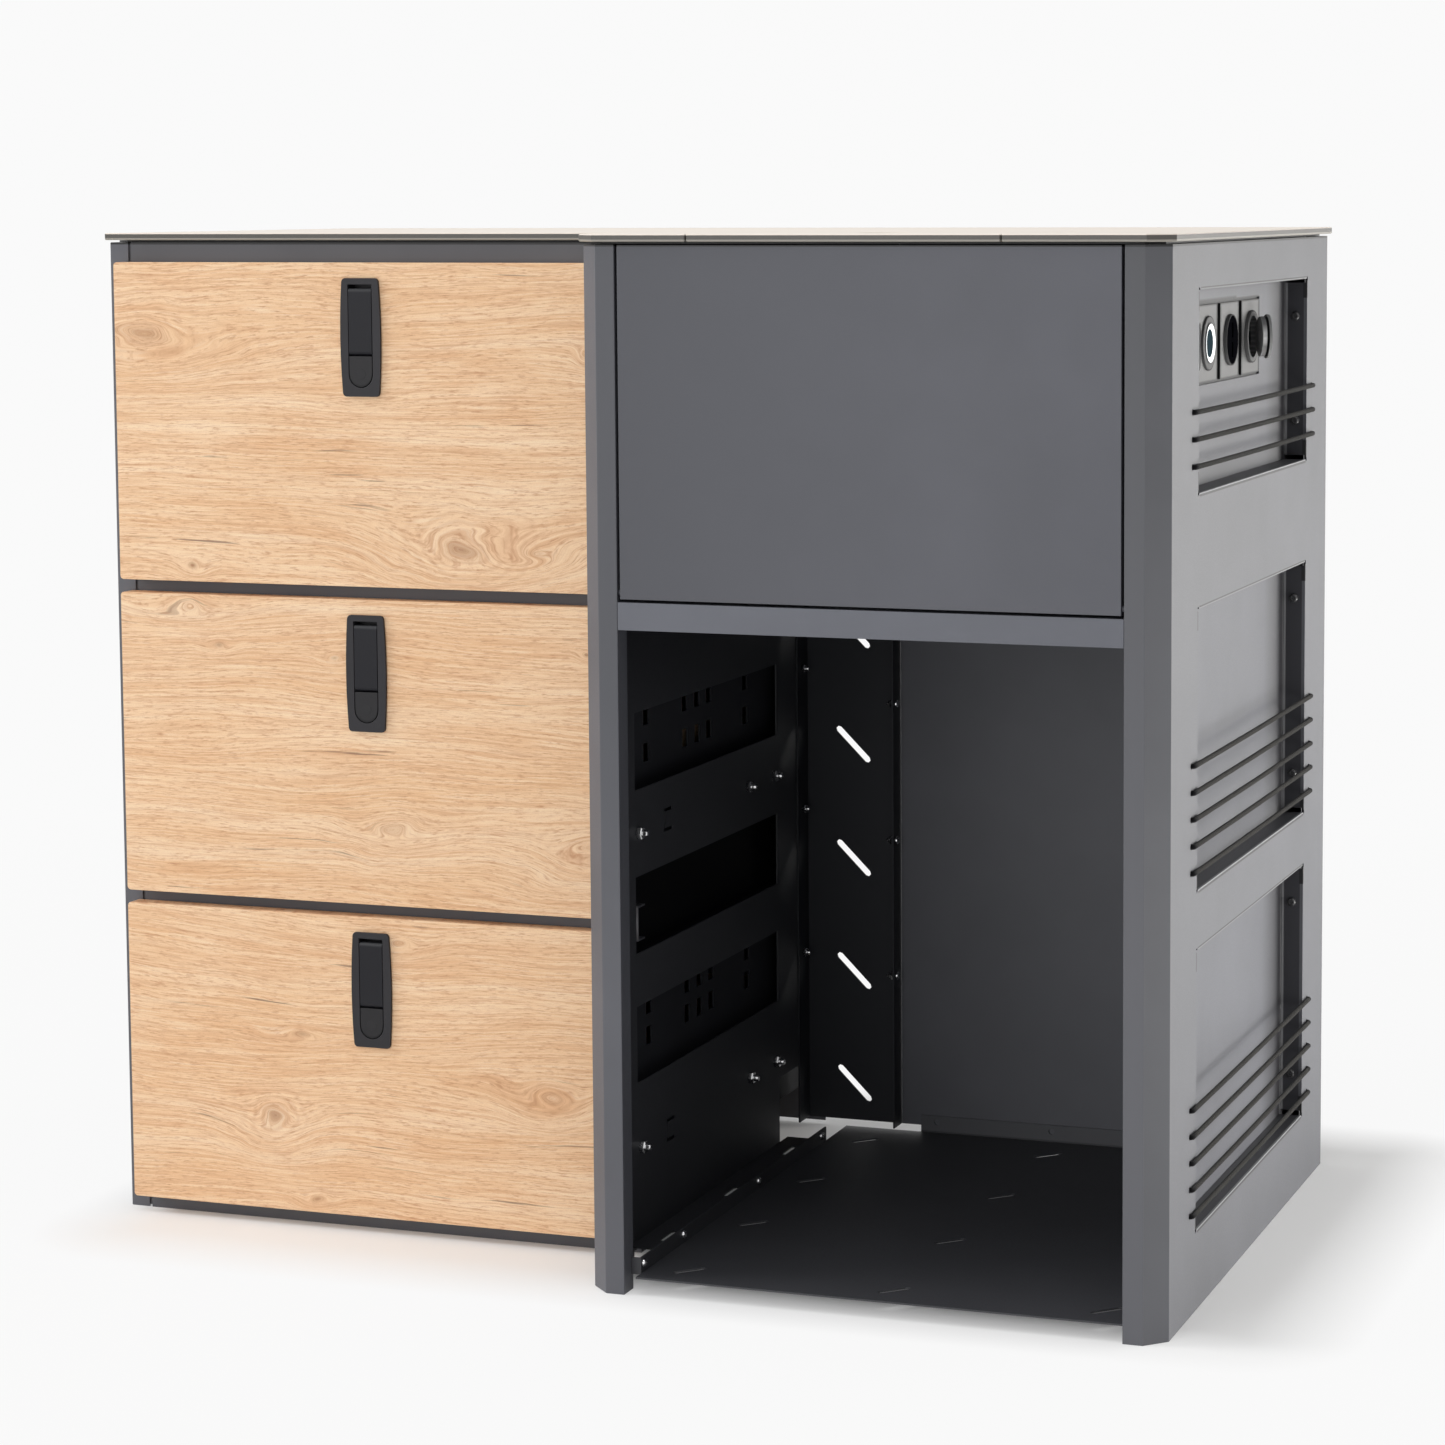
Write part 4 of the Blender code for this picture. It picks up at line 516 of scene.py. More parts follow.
def powder_coat(name, colour=STEEL, roughness=0.50, details=(), specular=0.5):
    """Fine-textured matt paint with a faint mottle, with painted light and shade, and a painted
    shadow under the worktop.
    """
    shader = Shader(name, Specular_IOR_Level=specular)
    mottle = shader.noise(scale=7.0, detail=3.0, roughness=0.6)
    grain = shader.noise(scale=1400.0, roughness=0.6)
    tone = shader.blend(shader.spread(mottle), *(tinted(colour, shade) for shade in COAT_SHADES))
    for ranges, soft, detail in (*details, patch(SHADOW, SOFT_FOLD, z=UNDER_WORKTOP)):
        tone = shader.blend(shader.inside(ranges, soft), tone, detail)
    shader.set(Base_Color=tone, Roughness=shader.spread(grain, *around(roughness, COAT_VARIES)))
    shader.bump(grain, depth=0.00012, strength=0.5)
    return shader.material


def stretched(shader, axes, scales, detail=2.0, roughness=0.5):
    """Noise drawn out differently along three directions."""
    x, y, z = (shader.times(axis, scale) for axis, scale in zip(axes, scales))
    place = shader.node("ShaderNodeCombineXYZ", X=x, Y=y, Z=z).outputs[0]
    return shader.noise(1.0, detail, roughness, place)


def bell(shader, square, size):
    """One at the middle of a knot, falling off to zero with the squared distance."""
    return shader.math("POWER", 1.0 / math.e, shader.math("DIVIDE", square, size * size))


def oak(name, knots):
    """Oak with a horizontal grain that bends round knots.

    A knot is its X, its Z, its size, its stretch, its swirl and its darkness.
    """
    shader = Shader(name, Specular_IOR_Level=0.30)
    x, y, z = shader.axes()
    wide = stretched(shader, (x, y, z), WIDE_WAVE)
    small = stretched(shader, (x, y, z), SMALL_WAVE)
    flow = shader.plus(z, shader.times(wide, WIDE_BEND))
    flow = shader.plus(flow, shader.times(small, SMALL_BEND))
    core, swirl = 0.0, 0.0
    for knot_x, knot_z, size, stretch, curl, darkness in knots:
        lean = shader.times(shader.minus(small, NOISE_MIDDLE), size * KNOT_LEAN)
        across = shader.plus(shader.math("DIVIDE", shader.minus(x, knot_x), stretch), lean)
        up = shader.plus(shader.minus(z, knot_z), shader.times(lean, KNOT_LIFT))
        square = shader.plus(shader.times(across, across), shader.times(up, up))
        away = shader.math("SQRT", square)
        share = bell(shader, square, size)
        bend = shader.minus(shader.plus(away, knot_z), z)
        flow = shader.plus(flow, shader.times(bend, share))
        phase = shader.plus(shader.times(away, RING_WAVES), shader.times(wide, RING_WANDER))
        rings = shader.span(shader.math("SINE", phase), *RING_RANGE)
        ring = shader.times(rings, shader.times(share, curl * KNOT_SHARE))
        swirl = shader.largest(swirl, ring)
        heart = shader.times(bell(shader, square, size * KNOT_CORE), darkness * KNOT_SHARE)
        core = shader.largest(core, heart)
    layers = {key: stretched(shader, (x, y, flow), *values) for key, values in OAK_LAYERS.items()}
    layers["speck"] = shader.noise(scale=1300.0, roughness=0.7)
    tone = shader.blend(shader.span(layers["patch"], *OAK_PATCH), OAK_LIGHT, OAK_BASE)
    for layer, ends, shares, colour in OAK_TONES:
        tone = shader.blend(shader.span(layers[layer], *ends, *shares), tone, colour)
    tone = shader.blend(swirl, tone, OAK_DARK)
    tone = shader.blend(core, tone, OAK_KNOT)
    shader.set(Base_Color=tone, Roughness=shader.spread(layers["streak"], *OAK_ROUGHNESS))
    shader.bump(shader.plus(layers["streak"], layers["pore"]), depth=0.00010, strength=0.5)
    return shader.material


def laminate(name):
    """Cream compact laminate whose dark core shows at the edges, over a paler layer."""
    shader = Shader(name, Roughness=0.42)
    z = shader.axes()[2]
    speck = shader.noise(scale=900.0, roughness=0.6)
    cloud = shader.noise(scale=5.0)
    top = shader.blend(shader.spread(cloud, *CREAM_SHARES), CREAM, tinted(CREAM, CREAM_SHADE))
    core = shader.blend(shader.spread(speck), CORE, tinted(CORE, CORE_SHADE))
    side = shader.blend(shader.span(z, *LOWER_LAYER_TOP), LOWER_LAYER, core)
    shader.set(Base_Color=shader.blend(shader.span(z, *CORE_TOP), side, top))
    shader.bump(speck, depth=0.00005, strength=0.4)
    return shader.material


def moulded(name, colour, roughness, specular):
    """Moulded plastic with a fine spark texture."""
    shader = Shader(name, Specular_IOR_Level=specular)
    grain = shader.spark()
    cloud = shader.noise(scale=40.0)
    shader.set(
        Base_Color=shader.blend(shader.spread(cloud), colour, tinted(colour, MOULDED_SHADE)),
        Roughness=shader.spread(grain, *around(roughness, MOULDED_VARIES)),
    )
    shader.bump(grain, **MOULDED_BUMP)
    return shader.material


def zinc(name, colour, roughness):
    """Plated steel with faint spangles and drawn scratches."""
    shader = Shader(name, Metallic=1.0)
    drawn = shader.node("ShaderNodeMapping", Vector=shader.places, Scale=ZINC_WAVES)
    scratch = shader.noise(scale=1.0, roughness=0.6, places=drawn.outputs[0])
    cloud = shader.noise(scale=120.0, detail=3.0, roughness=0.6)
    shader.set(
        Base_Color=shader.blend(shader.spread(cloud), tinted(colour, ZINC_SHADE), colour),
        Roughness=shader.spread(scratch, *moved(ZINC_VARIES, roughness)),
    )
    shader.bump(scratch, depth=0.00003, strength=0.4)
    return shader.material


def plywood(name):
    """Lacquered birch with darker plies on its cut edges."""
    shader = Shader(name, Specular_IOR_Level=0.4)
    x, y, z = shader.axes()
    figure = stretched(shader, (x, y, z), PLY_FIGURE_WAVES, detail=3.0, roughness=0.6)
    fine = stretched(shader, (x, y, z), PLY_FINE_WAVES, detail=3.0, roughness=0.6)
    tone = shader.blend(shader.span(figure, *PLY_FIGURE_RANGE), PLY_PALE, PLY_BROWN)
    tone = shader.blend(shader.span(fine, *PLY_FINE_RANGE, *PLY_FINE_SHARES), tone, PLY_DARK)
    on_top = shader.math("GREATER_THAN", shader.split(shader.coordinates["Normal"])[2], UPWARD)
    ply = shader.math("FRACT", shader.times(shader.plus(x, y), PLIES_A_METRE))
    edge = shader.times(on_top, shader.math("GREATER_THAN", ply, DARK_PLY))
    tone = shader.blend(shader.times(edge, PLY_EDGE_SHARE), tone, PLY_EDGE)
    shader.set(Base_Color=tone, Roughness=shader.spread(figure, *PLY_ROUGHNESS))
    shader.bump(fine, depth=0.00006, strength=0.4)
    return shader.material


def braided(name):
    """Braided elastic cord, with painted shade where it turns into its holes."""
    shader = Shader(name, Roughness=0.85, Specular_IOR_Level=0.1)
    shader.set(Sheen_Weight=0.05, Sheen_Roughness=0.5)
    _, y, z = shader.axes()
    ways = shader.plus(y, z), shader.minus(y, z)
    strands = [shader.math("SINE", shader.times(way, CORD_WEAVE)) for way in ways]
    weave = shader.span(shader.times(*strands), -1.0, 1.0)
    tone = shader.blend(weave, BRAID_DARK, BRAID_PALE)
    # Painted shade near the ends, where the cord turns into its holes
    open_part = shader.within(y, CORD_NEAR + CORD_IN_HOLE, CORD_FAR - CORD_IN_HOLE, CORD_HOLE_SOFT)
    shader.set(Base_Color=shader.blend(open_part, SHADOW, tone))
    shader.bump(weave, depth=0.0002, strength=0.8)
    return shader.material


def ringed(shader, radius, rings):
    """Colours in rings, each given by the radius where it starts."""
    tone = rings[0][1]
    for start, colour in rings[1:]:
        tone = shader.blend(shader.span(radius, *around(start, RING_SOFT)), tone, colour)
    return tone


def by_radius(name, y, z, rings, roughness, glow=None):
    """Material of a round fitting on the power panel, in rings, with a lit ring if it has one."""
    shader = Shader(name, Roughness=roughness, Specular_IOR_Level=0.0)
    _, across, up = shader.axes()
    radius = shader.length(shader.minus(across, y), shader.minus(up, z))
    shader.set(Base_Color=ringed(shader, radius, rings))
    shader.bump(shader.spark(), **FINE_BUMP)
    if glow:
        *limits, strength = glow
        lit = shader.blend(shader.within(radius, *limits), (0.0, 0.0, 0.0), GLOW)
        shader.set(Emission_Color=lit, Emission_Strength=strength)
    return shader.material


def module_plate(name):
    """Grey fitting modules, with painted shade along their rounded edges, in the gaps between them
    and behind their faces.
    """
    shader = Shader(name, Specular_IOR_Level=0.3, Roughness=0.45)
    x, y, z = shader.axes()
    half_pitch = MODULE_PITCH / 2.0
    from_edge = shader.minus(y, MODULE_FIRST - half_pitch)
    wrapped = shader.math("FLOORED_MODULO", from_edge, MODULE_PITCH)
    beside = shader.minus(MODULE_WIDTH / 2.0, shader.distance(wrapped, half_pitch))
    above = shader.minus(MODULE_HEIGHT / 2.0, shader.distance(z, SOCKET_LEVEL))
    edge_shade = shader.span(beside, 0.0, MODULE_SIDE_SHADE)
    edge_shade = shader.times(edge_shade, shader.span(above, 0.0, MODULE_TOP_SHADE))
    front = shader.span(x, *moved(MODULE_FACE_SHADE_FADE, MODULE_FACE))
    shader.set(Base_Color=shader.blend(front, SHADOW, shader.blend(edge_shade, SHADOW, MODULE_GREY)))
    shader.bump(shader.spark(), **FINE_BUMP)
    return shader.material


def cap_plastic(name, socket_y, angle):
    """Black cap whose rim and plug are painted pale grey, partly as reflection, with painted
    highlights on the plug. At rest it stands ajar, turned about its hinge.
    """
    shader = Shader(name, Specular_IOR_Level=0.05, Roughness=0.30)
    x, y, z = shader.axes()
    from_x, from_y = shader.minus(x, CAP_HINGE_X), shader.minus(y, socket_y + CAP_HINGE_REACH)
    cosine, sine = math.cos(angle), math.sin(angle)
    out = shader.plus(shader.times(from_x, cosine), shader.times(from_y, sine))
    along = shader.minus(shader.times(from_y, cosine), shader.times(from_x, sine))
    radius = shader.length(shader.plus(along, CAP_HINGE_REACH), shader.minus(z, SOCKET_LEVEL))
    level = shader.within(z, *moved(CAP_HIGHLIGHT_LEVEL, SOCKET_LEVEL), CAP_HIGHLIGHT_SOFT)
    plug = shader.within(out, *CAP_PLUG_DEPTH, CAP_SOFT)
    tone = shader.blend(plug, SHADOW, shader.blend(level, PLUG_GREY_AND_REFLECTION, PLUG_HIGHLIGHT))
    face = shader.span(out, *CAP_PLUG_FACE, 1.0, 0.0)
    tone = shader.blend(face, tone, ringed(shader, radius, CAP_FACE_HIGHLIGHT))
    rim = shader.within(radius, *CAP_RIM_RADIUS, CAP_SOFT)
    rim = shader.times(rim, shader.within(out, *CAP_RIM_DEPTH, CAP_SOFT))
    shader.set(Base_Color=shader.blend(rim, tone, CAP_RIM_GREY_AND_REFLECTION))
    shader.bump(shader.spark(), **FINE_BUMP)
    return shader.material


def latch_lever(drawer):
    """Near-black lever with a painted highlight along its top bevel."""
    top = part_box(f"{drawer}_latch_lever")[1].z
    bevel = patch(LEVER_BEVEL_HIGHLIGHT, BEVEL_HIGHLIGHT_SOFT, z=moved(BEVEL_HIGHLIGHT_LEVELS, top))
    return powder_coat(f"{drawer}_lever", LEVER, roughness=0.40, details=(bevel,), specular=0.2)


def latch_button(drawer):
    """Black button with painted shade in the gap round its rounded foot."""
    low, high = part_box(f"{drawer}_latch_button")
    half = (high.x - low.x) / 2.0
    shader = Shader(f"{drawer}_button", Roughness=0.44, Specular_IOR_Level=0.25)
    x, _, z = shader.axes()
    across = shader.minus(x, low.x + half)
    up = shader.minus(z, low.z + half + FOOT_RISE)
    gap = shader.span(shader.length(across, up), half - FOOT_GAP_SHADE[0], half - FOOT_GAP_SHADE[1])
    foot = shader.times(gap, shader.span(up, 0.0, FOOT_SHADE_FADE, 1.0, 0.0))
    shader.set(Base_Color=shader.blend(foot, BUTTON, SHADOW))
    shader.bump(shader.spark(), **MOULDED_BUMP)
    return shader.material


def window_shading():
    """Painted light and shade round the pocket windows: shade on their folds, highlights and shadow
    lines at their edges, and relief notches painted dark as shade.
    """
    details = []
    for low, high in WINDOWS:
        # Painted shade on the top face of the lower fold
        details.append(patch(STEEL_IN_SHADE, SOFT_LINE, x=LIP_X, y=LIP_Y, z=moved(LIP_FOLD_SHADE, low)))
        # A painted highlight along each edge, with a painted shadow line beside it
        for colour, bright, dark, edge in (
            (STEEL_EDGE_HIGHLIGHT, LOWER_HIGHLIGHT, LOWER_SHADOW, low),
            (STEEL_TOP_EDGE_HIGHLIGHT, UPPER_HIGHLIGHT, UPPER_SHADOW, high),
        ):
            details.append(patch(colour, SOFT_LINE, x=SKIN_X, y=LIP_Y, z=moved(bright, edge)))
            details.append(patch(SHADOW, SOFT_LINE, x=SKIN_X, y=LIP_Y, z=moved(dark, edge)))
        # Rear lip: a painted shaded face, and a painted highlight at its bend
        for x, reach, colour in REAR_LIP_SHADING:
            y = around(WINDOW_BACK, reach)
            details.append(patch(colour, SOFT_FOLD, x=x, y=y, z=(low, high)))
        # Relief notches, painted dark as shade
        for level in (low + NOTCH_INSET, high - NOTCH_INSET):
            for y in (WINDOW_FRONT, WINDOW_BACK):
                across, up = around(y, NOTCH_HALF_WIDTH), around(level, NOTCH_HALF_HEIGHT)
                details.append(patch(SHADOW, SOFT_LINE, x=NOTCH_X, y=across, z=up))
    return details


# Painted light and shade on the coats. Where one fades over a longer way than its edges do, FADE is
# the softness on that axis. OVER lies above the whole object, and FAR_LEFT and FAR_BACK outside it
OVER, FAR_LEFT, FAR_BACK = 2.0, -1.0, 0.30
FRONT_FACE_Y = (-0.2960, -0.2938)
# The right post's front: painted lighter all over as light, with painted shade fading in towards
# its top
POST_X, POST_LOW_Z, POST_TOP_Z, POST_FADE = (0.450, 0.4752), (0.0, 1.0), (0.57, OVER), 0.27
# Painted shade fading in towards the top of the left column's front
COLUMN_X, COLUMN_TOP_Z, COLUMN_FADE = (0.0190, 0.0370), (0.405, OVER), 0.085
# Painted shade over the flap's left part, fading out to the right
FLAP_LEFT_X, FLAP_FADE = (FAR_LEFT, 0.185), 0.145
INSIDE_SHADE_Z, INSIDE_FADE = (0.50, 0.60), 0.05
# Where the lit face of the bay floor's upstand is painted lighter
BAY_FLOOR_EDGE_Y, BAY_FLOOR_EDGE_Z = (0.2346, 0.25), (0.0170, 0.04)
# Painted shade on the drawers' inner panel, in a band and at its rear foot
RUNNER_SHADE_Z = (0.255, 0.335)
RUNNER_FOOT_SHADE_Y, RUNNER_FOOT_SHADE_Z = (0.150, FAR_BACK), (0.0, 0.09)
POCKET_Z, POCKET_SHADE_Y, POCKET_FADE = (0.0, 0.86), (0.166, FAR_BACK), 0.034
# Where the painted highlight at the pocket's rear bend lies
POCKET_BEND_HIGHLIGHT_Y = (0.2062, FAR_BACK)
# Two lines of shadow under the power panel: ranges along Y and Z, and softness
POCKET_LINES = (
    ((-0.19, 0.1045), (0.8098, 0.8132), 0.0006),
    ((-0.19, 0.02), (0.8098, 0.8146), 0.0010),
)
# Shaded coat: the darker copy of the steel, painted as shade
SHADED_COAT = {"colour": STEEL_IN_SHADE, "roughness": 0.55}

COAT = powder_coat("powder_coat")
# Coat inside the niche: the shaded copy, with painted shade darker still towards its top
COAT_INSIDE_SHADED = powder_coat("powder_coat_inside_shaded", **SHADED_COAT, details=(
    patch(STEEL_SHADE, INSIDE_FADE, z=INSIDE_SHADE_Z),
))
# Shaded copy for the rails between the drawers
COAT_RAIL_SHADED = powder_coat("powder_coat_rail_shaded", STEEL_RAIL_SHADED)
# Shaded coat for the bay floor, with its upstand's face painted lighter as lit
COAT_FLOOR_SHADED = powder_coat("powder_coat_floor_shaded", **SHADED_COAT, details=(
    patch(BAY_FLOOR_EDGE_LIT, SOFT_PATCH, y=BAY_FLOOR_EDGE_Y, z=BAY_FLOOR_EDGE_Z),
))
# Shaded coat for the drawers' inner panel, with painted shade
COAT_RUNNERS_SHADED = powder_coat("powder_coat_runners_shaded", **SHADED_COAT, details=(
    patch(SHADOW, SOFT_SLOPE, z=RUNNER_SHADE_Z),
    patch(SHADOW, SOFT_SLOPE, y=RUNNER_FOOT_SHADE_Y, z=RUNNER_FOOT_SHADE_Z),
), specular=0.05)
# Shaded copy for the right side, with painted light and shade on its post and round its windows
COAT_SIDE_SHADING = powder_coat("powder_coat_side_shading", STEEL_SIDE_SHADED, details=(
    patch(STEEL_POST_LIT, SOFT_PATCH, POST_X, FRONT_FACE_Y, POST_LOW_Z),
    patch(STEEL_POST_TOP_SHADED, (SOFT_PATCH, SOFT_PATCH, POST_FADE), POST_X, FRONT_FACE_Y, POST_TOP_Z),
    *window_shading(),
))
# Left column, with painted shade towards its top
COAT_COLUMN_SHADED = powder_coat("powder_coat_column_shaded", details=(
    patch(
        STEEL_COLUMN_TOP_SHADED, (SOFT_PATCH, SOFT_PATCH, COLUMN_FADE),
        COLUMN_X, FRONT_FACE_Y, COLUMN_TOP_Z,
    ),
))
# Shaded copy for the flap, with more painted shade on its left
COAT_FLAP_SHADED = powder_coat("powder_coat_flap_shaded", STEEL_FLAP_SHADED, details=(
    patch(STEEL_FLAP_LEFT_SHADED, FLAP_FADE, x=FLAP_LEFT_X),
))
# Lit copy for the shelf
COAT_SHELF_LIT = powder_coat("powder_coat_shelf_lit", STEEL_SHELF_LIT)
# Shaded copy for the vent
COAT_VENT_SHADED = powder_coat("powder_coat_vent_shaded", STEEL_VENT_SHADED, SHADED_COAT["roughness"], specular=0.3)
# Pocket panel: painted shade towards its rear, a painted highlight at the bend, and painted shadow
# lines
COAT_POCKET_SHADING = powder_coat("powder_coat_pocket_shading", details=(
    patch(POCKET_SHADE, POCKET_FADE, y=POCKET_SHADE_Y, z=POCKET_Z),
    patch(POCKET_BEND_HIGHLIGHT, SOFT_PATCH, y=POCKET_BEND_HIGHLIGHT_Y, z=POCKET_Z),
    *(patch(SHADOW, soft, y=y, z=z) for y, z, soft in POCKET_LINES),
))
BLACK_PLASTIC = moulded("black_plastic", BLACK, roughness=0.42, specular=0.25)
BEZEL_PLASTIC = moulded("bezel_plastic", BEZEL, roughness=0.45, specular=0.25)
BUTTON_PLASTIC = moulded("button_plastic", DISC, roughness=0.44, specular=0.25)
GREY_PLASTIC = moulded("grey_plastic", MODULE_GREY, roughness=0.45, specular=0.3)
BLACK_SCREW = moulded("black_screw", SCREW_BLACK, roughness=0.28, specular=0.9)
MODULES = module_plate("module_plate")
ZINC = zinc("zinc", ZINC_GREY, roughness=0.33)
BRIGHT = zinc("bright_screw", BRIGHT_GREY, roughness=0.20)
PLYWOOD = plywood("plywood")
CORD = braided("elastic")
LAMINATE = laminate("laminate")

# Materials of the slots, and of the nodes that have their own
SLOT_MATERIALS = {
    "powder_coat": COAT, "laminate": LAMINATE, "plywood": PLYWOOD, "black_plastic": BLACK_PLASTIC,
    "grey_plastic": GREY_PLASTIC, "zinc": ZINC, "elastic": CORD,
}
OWN_MATERIALS = {
    "base_rail": COAT_INSIDE_SHADED, "divider_panel": COAT_INSIDE_SHADED, "drawer_inner_panel": COAT_RUNNERS_SHADED,
    "bay_floor": COAT_FLOOR_SHADED, "bay_shelf": COAT_SHELF_LIT, "bay_vent_panel": COAT_VENT_SHADED,
    "right_side_panel": COAT_SIDE_SHADING, "left_column": COAT_COLUMN_SHADED, "front_flap": COAT_FLAP_SHADED,
    "pocket_back_panel": COAT_POCKET_SHADING, "power_panel": MODULES,
    **{f"drawer_{place}_rail": COAT_RAIL_SHADED for place in ("top", "upper", "lower", "bottom")},
    **{f"{drawer}_latch_housing": BEZEL_PLASTIC for drawer in DRAWERS},
    **{f"{drawer}_latch_lever": latch_lever(drawer) for drawer in DRAWERS},
    **{f"{drawer}_latch_button": latch_button(drawer) for drawer in DRAWERS},
}


def dress(node, material):
    """Gives a CAD node its material, in every slot it has."""
    mesh = NODES[node].data
    if not mesh.materials:
        mesh.materials.append(material)
    for number in range(len(mesh.materials)):
        mesh.materials[number] = material


def soften(node, width, segments):
    """Rounds a CAD node's sharp edges a little, as folded sheet and moulded plastic have them."""
    obj = NODES[node]
    weld = obj.modifiers.new("weld", "WELD")
    weld.merge_threshold = WELD_DISTANCE
    bevel = obj.modifiers.new("round", "BEVEL")
    bevel.width = width
    bevel.segments = segments
    bevel.limit_method = "ANGLE"
    bevel.angle_limit = math.radians(ROUNDING_ANGLE)
    bevel.use_clamp_overlap = True
    bevel.harden_normals = True


def front_point(drawer, across, down):
    """X and Z of a point on a drawer front, from shares of its width and of its height down."""
    low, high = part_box(f"{drawer}_drawer_front")
    return low.x + across * (high.x - low.x), high.z - down * (high.z - low.z)


def dress_frame():
    for node, slot in SLOT_OF.items():
        if slot in SLOT_MATERIALS:
            dress(node, OWN_MATERIALS.get(node, SLOT_MATERIALS[slot]))
    for drawer, knots in KNOTS.items():
        placed = [(*front_point(drawer, across, down), *rest) for across, down, *rest in knots]
        dress(f"{drawer}_drawer_front", oak(f"oak_{drawer}", placed))
        for part in ("housing", "lever", "button"):
            soften(f"{drawer}_latch_{part}", *LATCH_ROUNDING)
    for node in ROUNDED_SHEETS:
        soften(node, *SHEET_ROUNDING)


def dress_fittings():
    """Rings of colour on the round fittings of the power panel."""
    for node, name, rings, roughness, glow in (
        ("lit_ring_switch", "ring_switch", SWITCH_RINGS, SWITCH_ROUGHNESS, SWITCH_GLOW),
        ("usb_socket", "usb_socket", USB_RINGS, FITTING_ROUGHNESS, None),
    ):
        low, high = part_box(node)
        middle = (low + high) / 2.0
        dress(node, by_radius(name, middle.y, middle.z, rings, roughness, glow))
    for place, y in SOCKET_Y.items():
        rings = by_radius(f"{place}_socket", y, SOCKET_LEVEL, SOCKET_RINGS, FITTING_ROUGHNESS)
        dress(f"{place}_12v_socket", rings)
        dress(f"{place}_socket_cap", cap_plastic(f"{place}_cap", y, math.radians(CAP_ANGLE[place])))


def piece(name, shape, material, body, smooth=SMOOTH_ANGLE):
    """Turns a bmesh into a piece of the scene that rides on a body."""
    mesh = bpy.data.meshes.new(name)
    bmesh.ops.recalc_face_normals(shape, faces=shape.faces)
    for edge in shape.edges:
        edge.smooth = len(edge.link_faces) == 2 and edge.calc_face_angle(0.0) < math.radians(smooth)
    for face in shape.faces:
        face.smooth = True
    shape.to_mesh(mesh)
    shape.free()
    mesh.materials.append(material)
    obj = bpy.data.objects.new(name, mesh)
    bpy.context.scene.collection.objects.link(obj)
    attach(obj, body)
    return obj


def facing(place, normal):
    """A matrix that puts local Z along the normal at a place."""
    turn = Vector(normal).to_track_quat("Z", "Y").to_matrix().to_4x4()
    return Matrix.Translation(place) @ turn


def about_x(y):
    """A matrix that puts local Z along X, on the axis of the fitting at this Y."""
    return Matrix.Translation((0.0, y, SOCKET_LEVEL)) @ Matrix.Rotation(QUARTER_TURN, 4, "Y")


def polygon_share(turn, corners):
    """Distance of a polygon's edge from its middle at an angle, over that of its corners."""
    half = math.pi / corners
    return math.cos(half) / math.cos(turn % (2.0 * half) - half)


def join_rings(shape, low, high):
    """Faces between two rings of as many points. A ring may be a single point."""
    sides = max(len(low), len(high))
    for step in range(sides):
        after = (step + 1) % sides
        if len(low) == 1:
            shape.faces.new((low[0], high[step], high[after]))
        elif len(high) == 1:
            shape.faces.new((low[step], low[after], high[0]))
        else:
            shape.faces.new((low[step], low[after], high[after], high[step]))


def add_turned(shape, profile, matrix, sides=24):
    """Adds a turned form. Profile rows are (radius, height) or (radius, height, corners)."""
    rings = []
    for radius, height, *corners in profile:
        if radius == 0.0:
            rings.append([shape.verts.new(matrix @ Vector((0.0, 0.0, height)))])
            continue
        ring = []
        for step in range(sides):
            turn = 2.0 * math.pi * step / sides
            reach = radius * polygon_share(turn, *corners) if corners else radius
            point = Vector((reach * math.cos(turn), reach * math.sin(turn), height))
            ring.append(shape.verts.new(matrix @ point))
        rings.append(ring)
    for low, high in zip(rings, rings[1:]):
        join_rings(shape, low, high)


def add_tube(shape, points, radius, sides):
    """A tube with closed ends along a list of points."""
    rings = []
    normal = None
    for number, point in enumerate(points):
        ahead = points[min(number + 1, len(points) - 1)] - points[max(number - 1, 0)]
        ahead.normalize()
        if normal is None:
            normal = ahead.orthogonal().normalized()
        normal = (normal - ahead * normal.dot(ahead)).normalized()
        side = ahead.cross(normal)
        rings.append([
            shape.verts.new(point + radius * (normal * math.cos(turn) + side * math.sin(turn)))
            for turn in (2.0 * math.pi * step / sides for step in range(sides))
        ])
    for low, high in zip(rings, rings[1:]):
        join_rings(shape, low, high)
    shape.faces.new(rings[0])
    shape.faces.new(rings[-1])


def add_block(shape, low, high):
    size = Vector(high) - Vector(low)
    middle = (Vector(high) + Vector(low)) / 2.0
    matrix = Matrix.Translation(middle) @ Matrix.Diagonal((*size, 1.0))
    bmesh.ops.create_cube(shape, size=1.0, matrix=matrix)


def cord_corner(y, along, level):
    """Points of a cord's rounded turn, from its hole at Y to the outside of the panel."""
    points = []
    for step in range(CORNER_STEPS + 1):
        turn = QUARTER_TURN * step / CORNER_STEPS
        inward, onward = CORD_RADIUS * (1.0 - math.sin(turn)), along * (1.0 - math.cos(turn))
        points.append(Vector((CORD_OUTSIDE - inward, y + onward, level)))
    return points


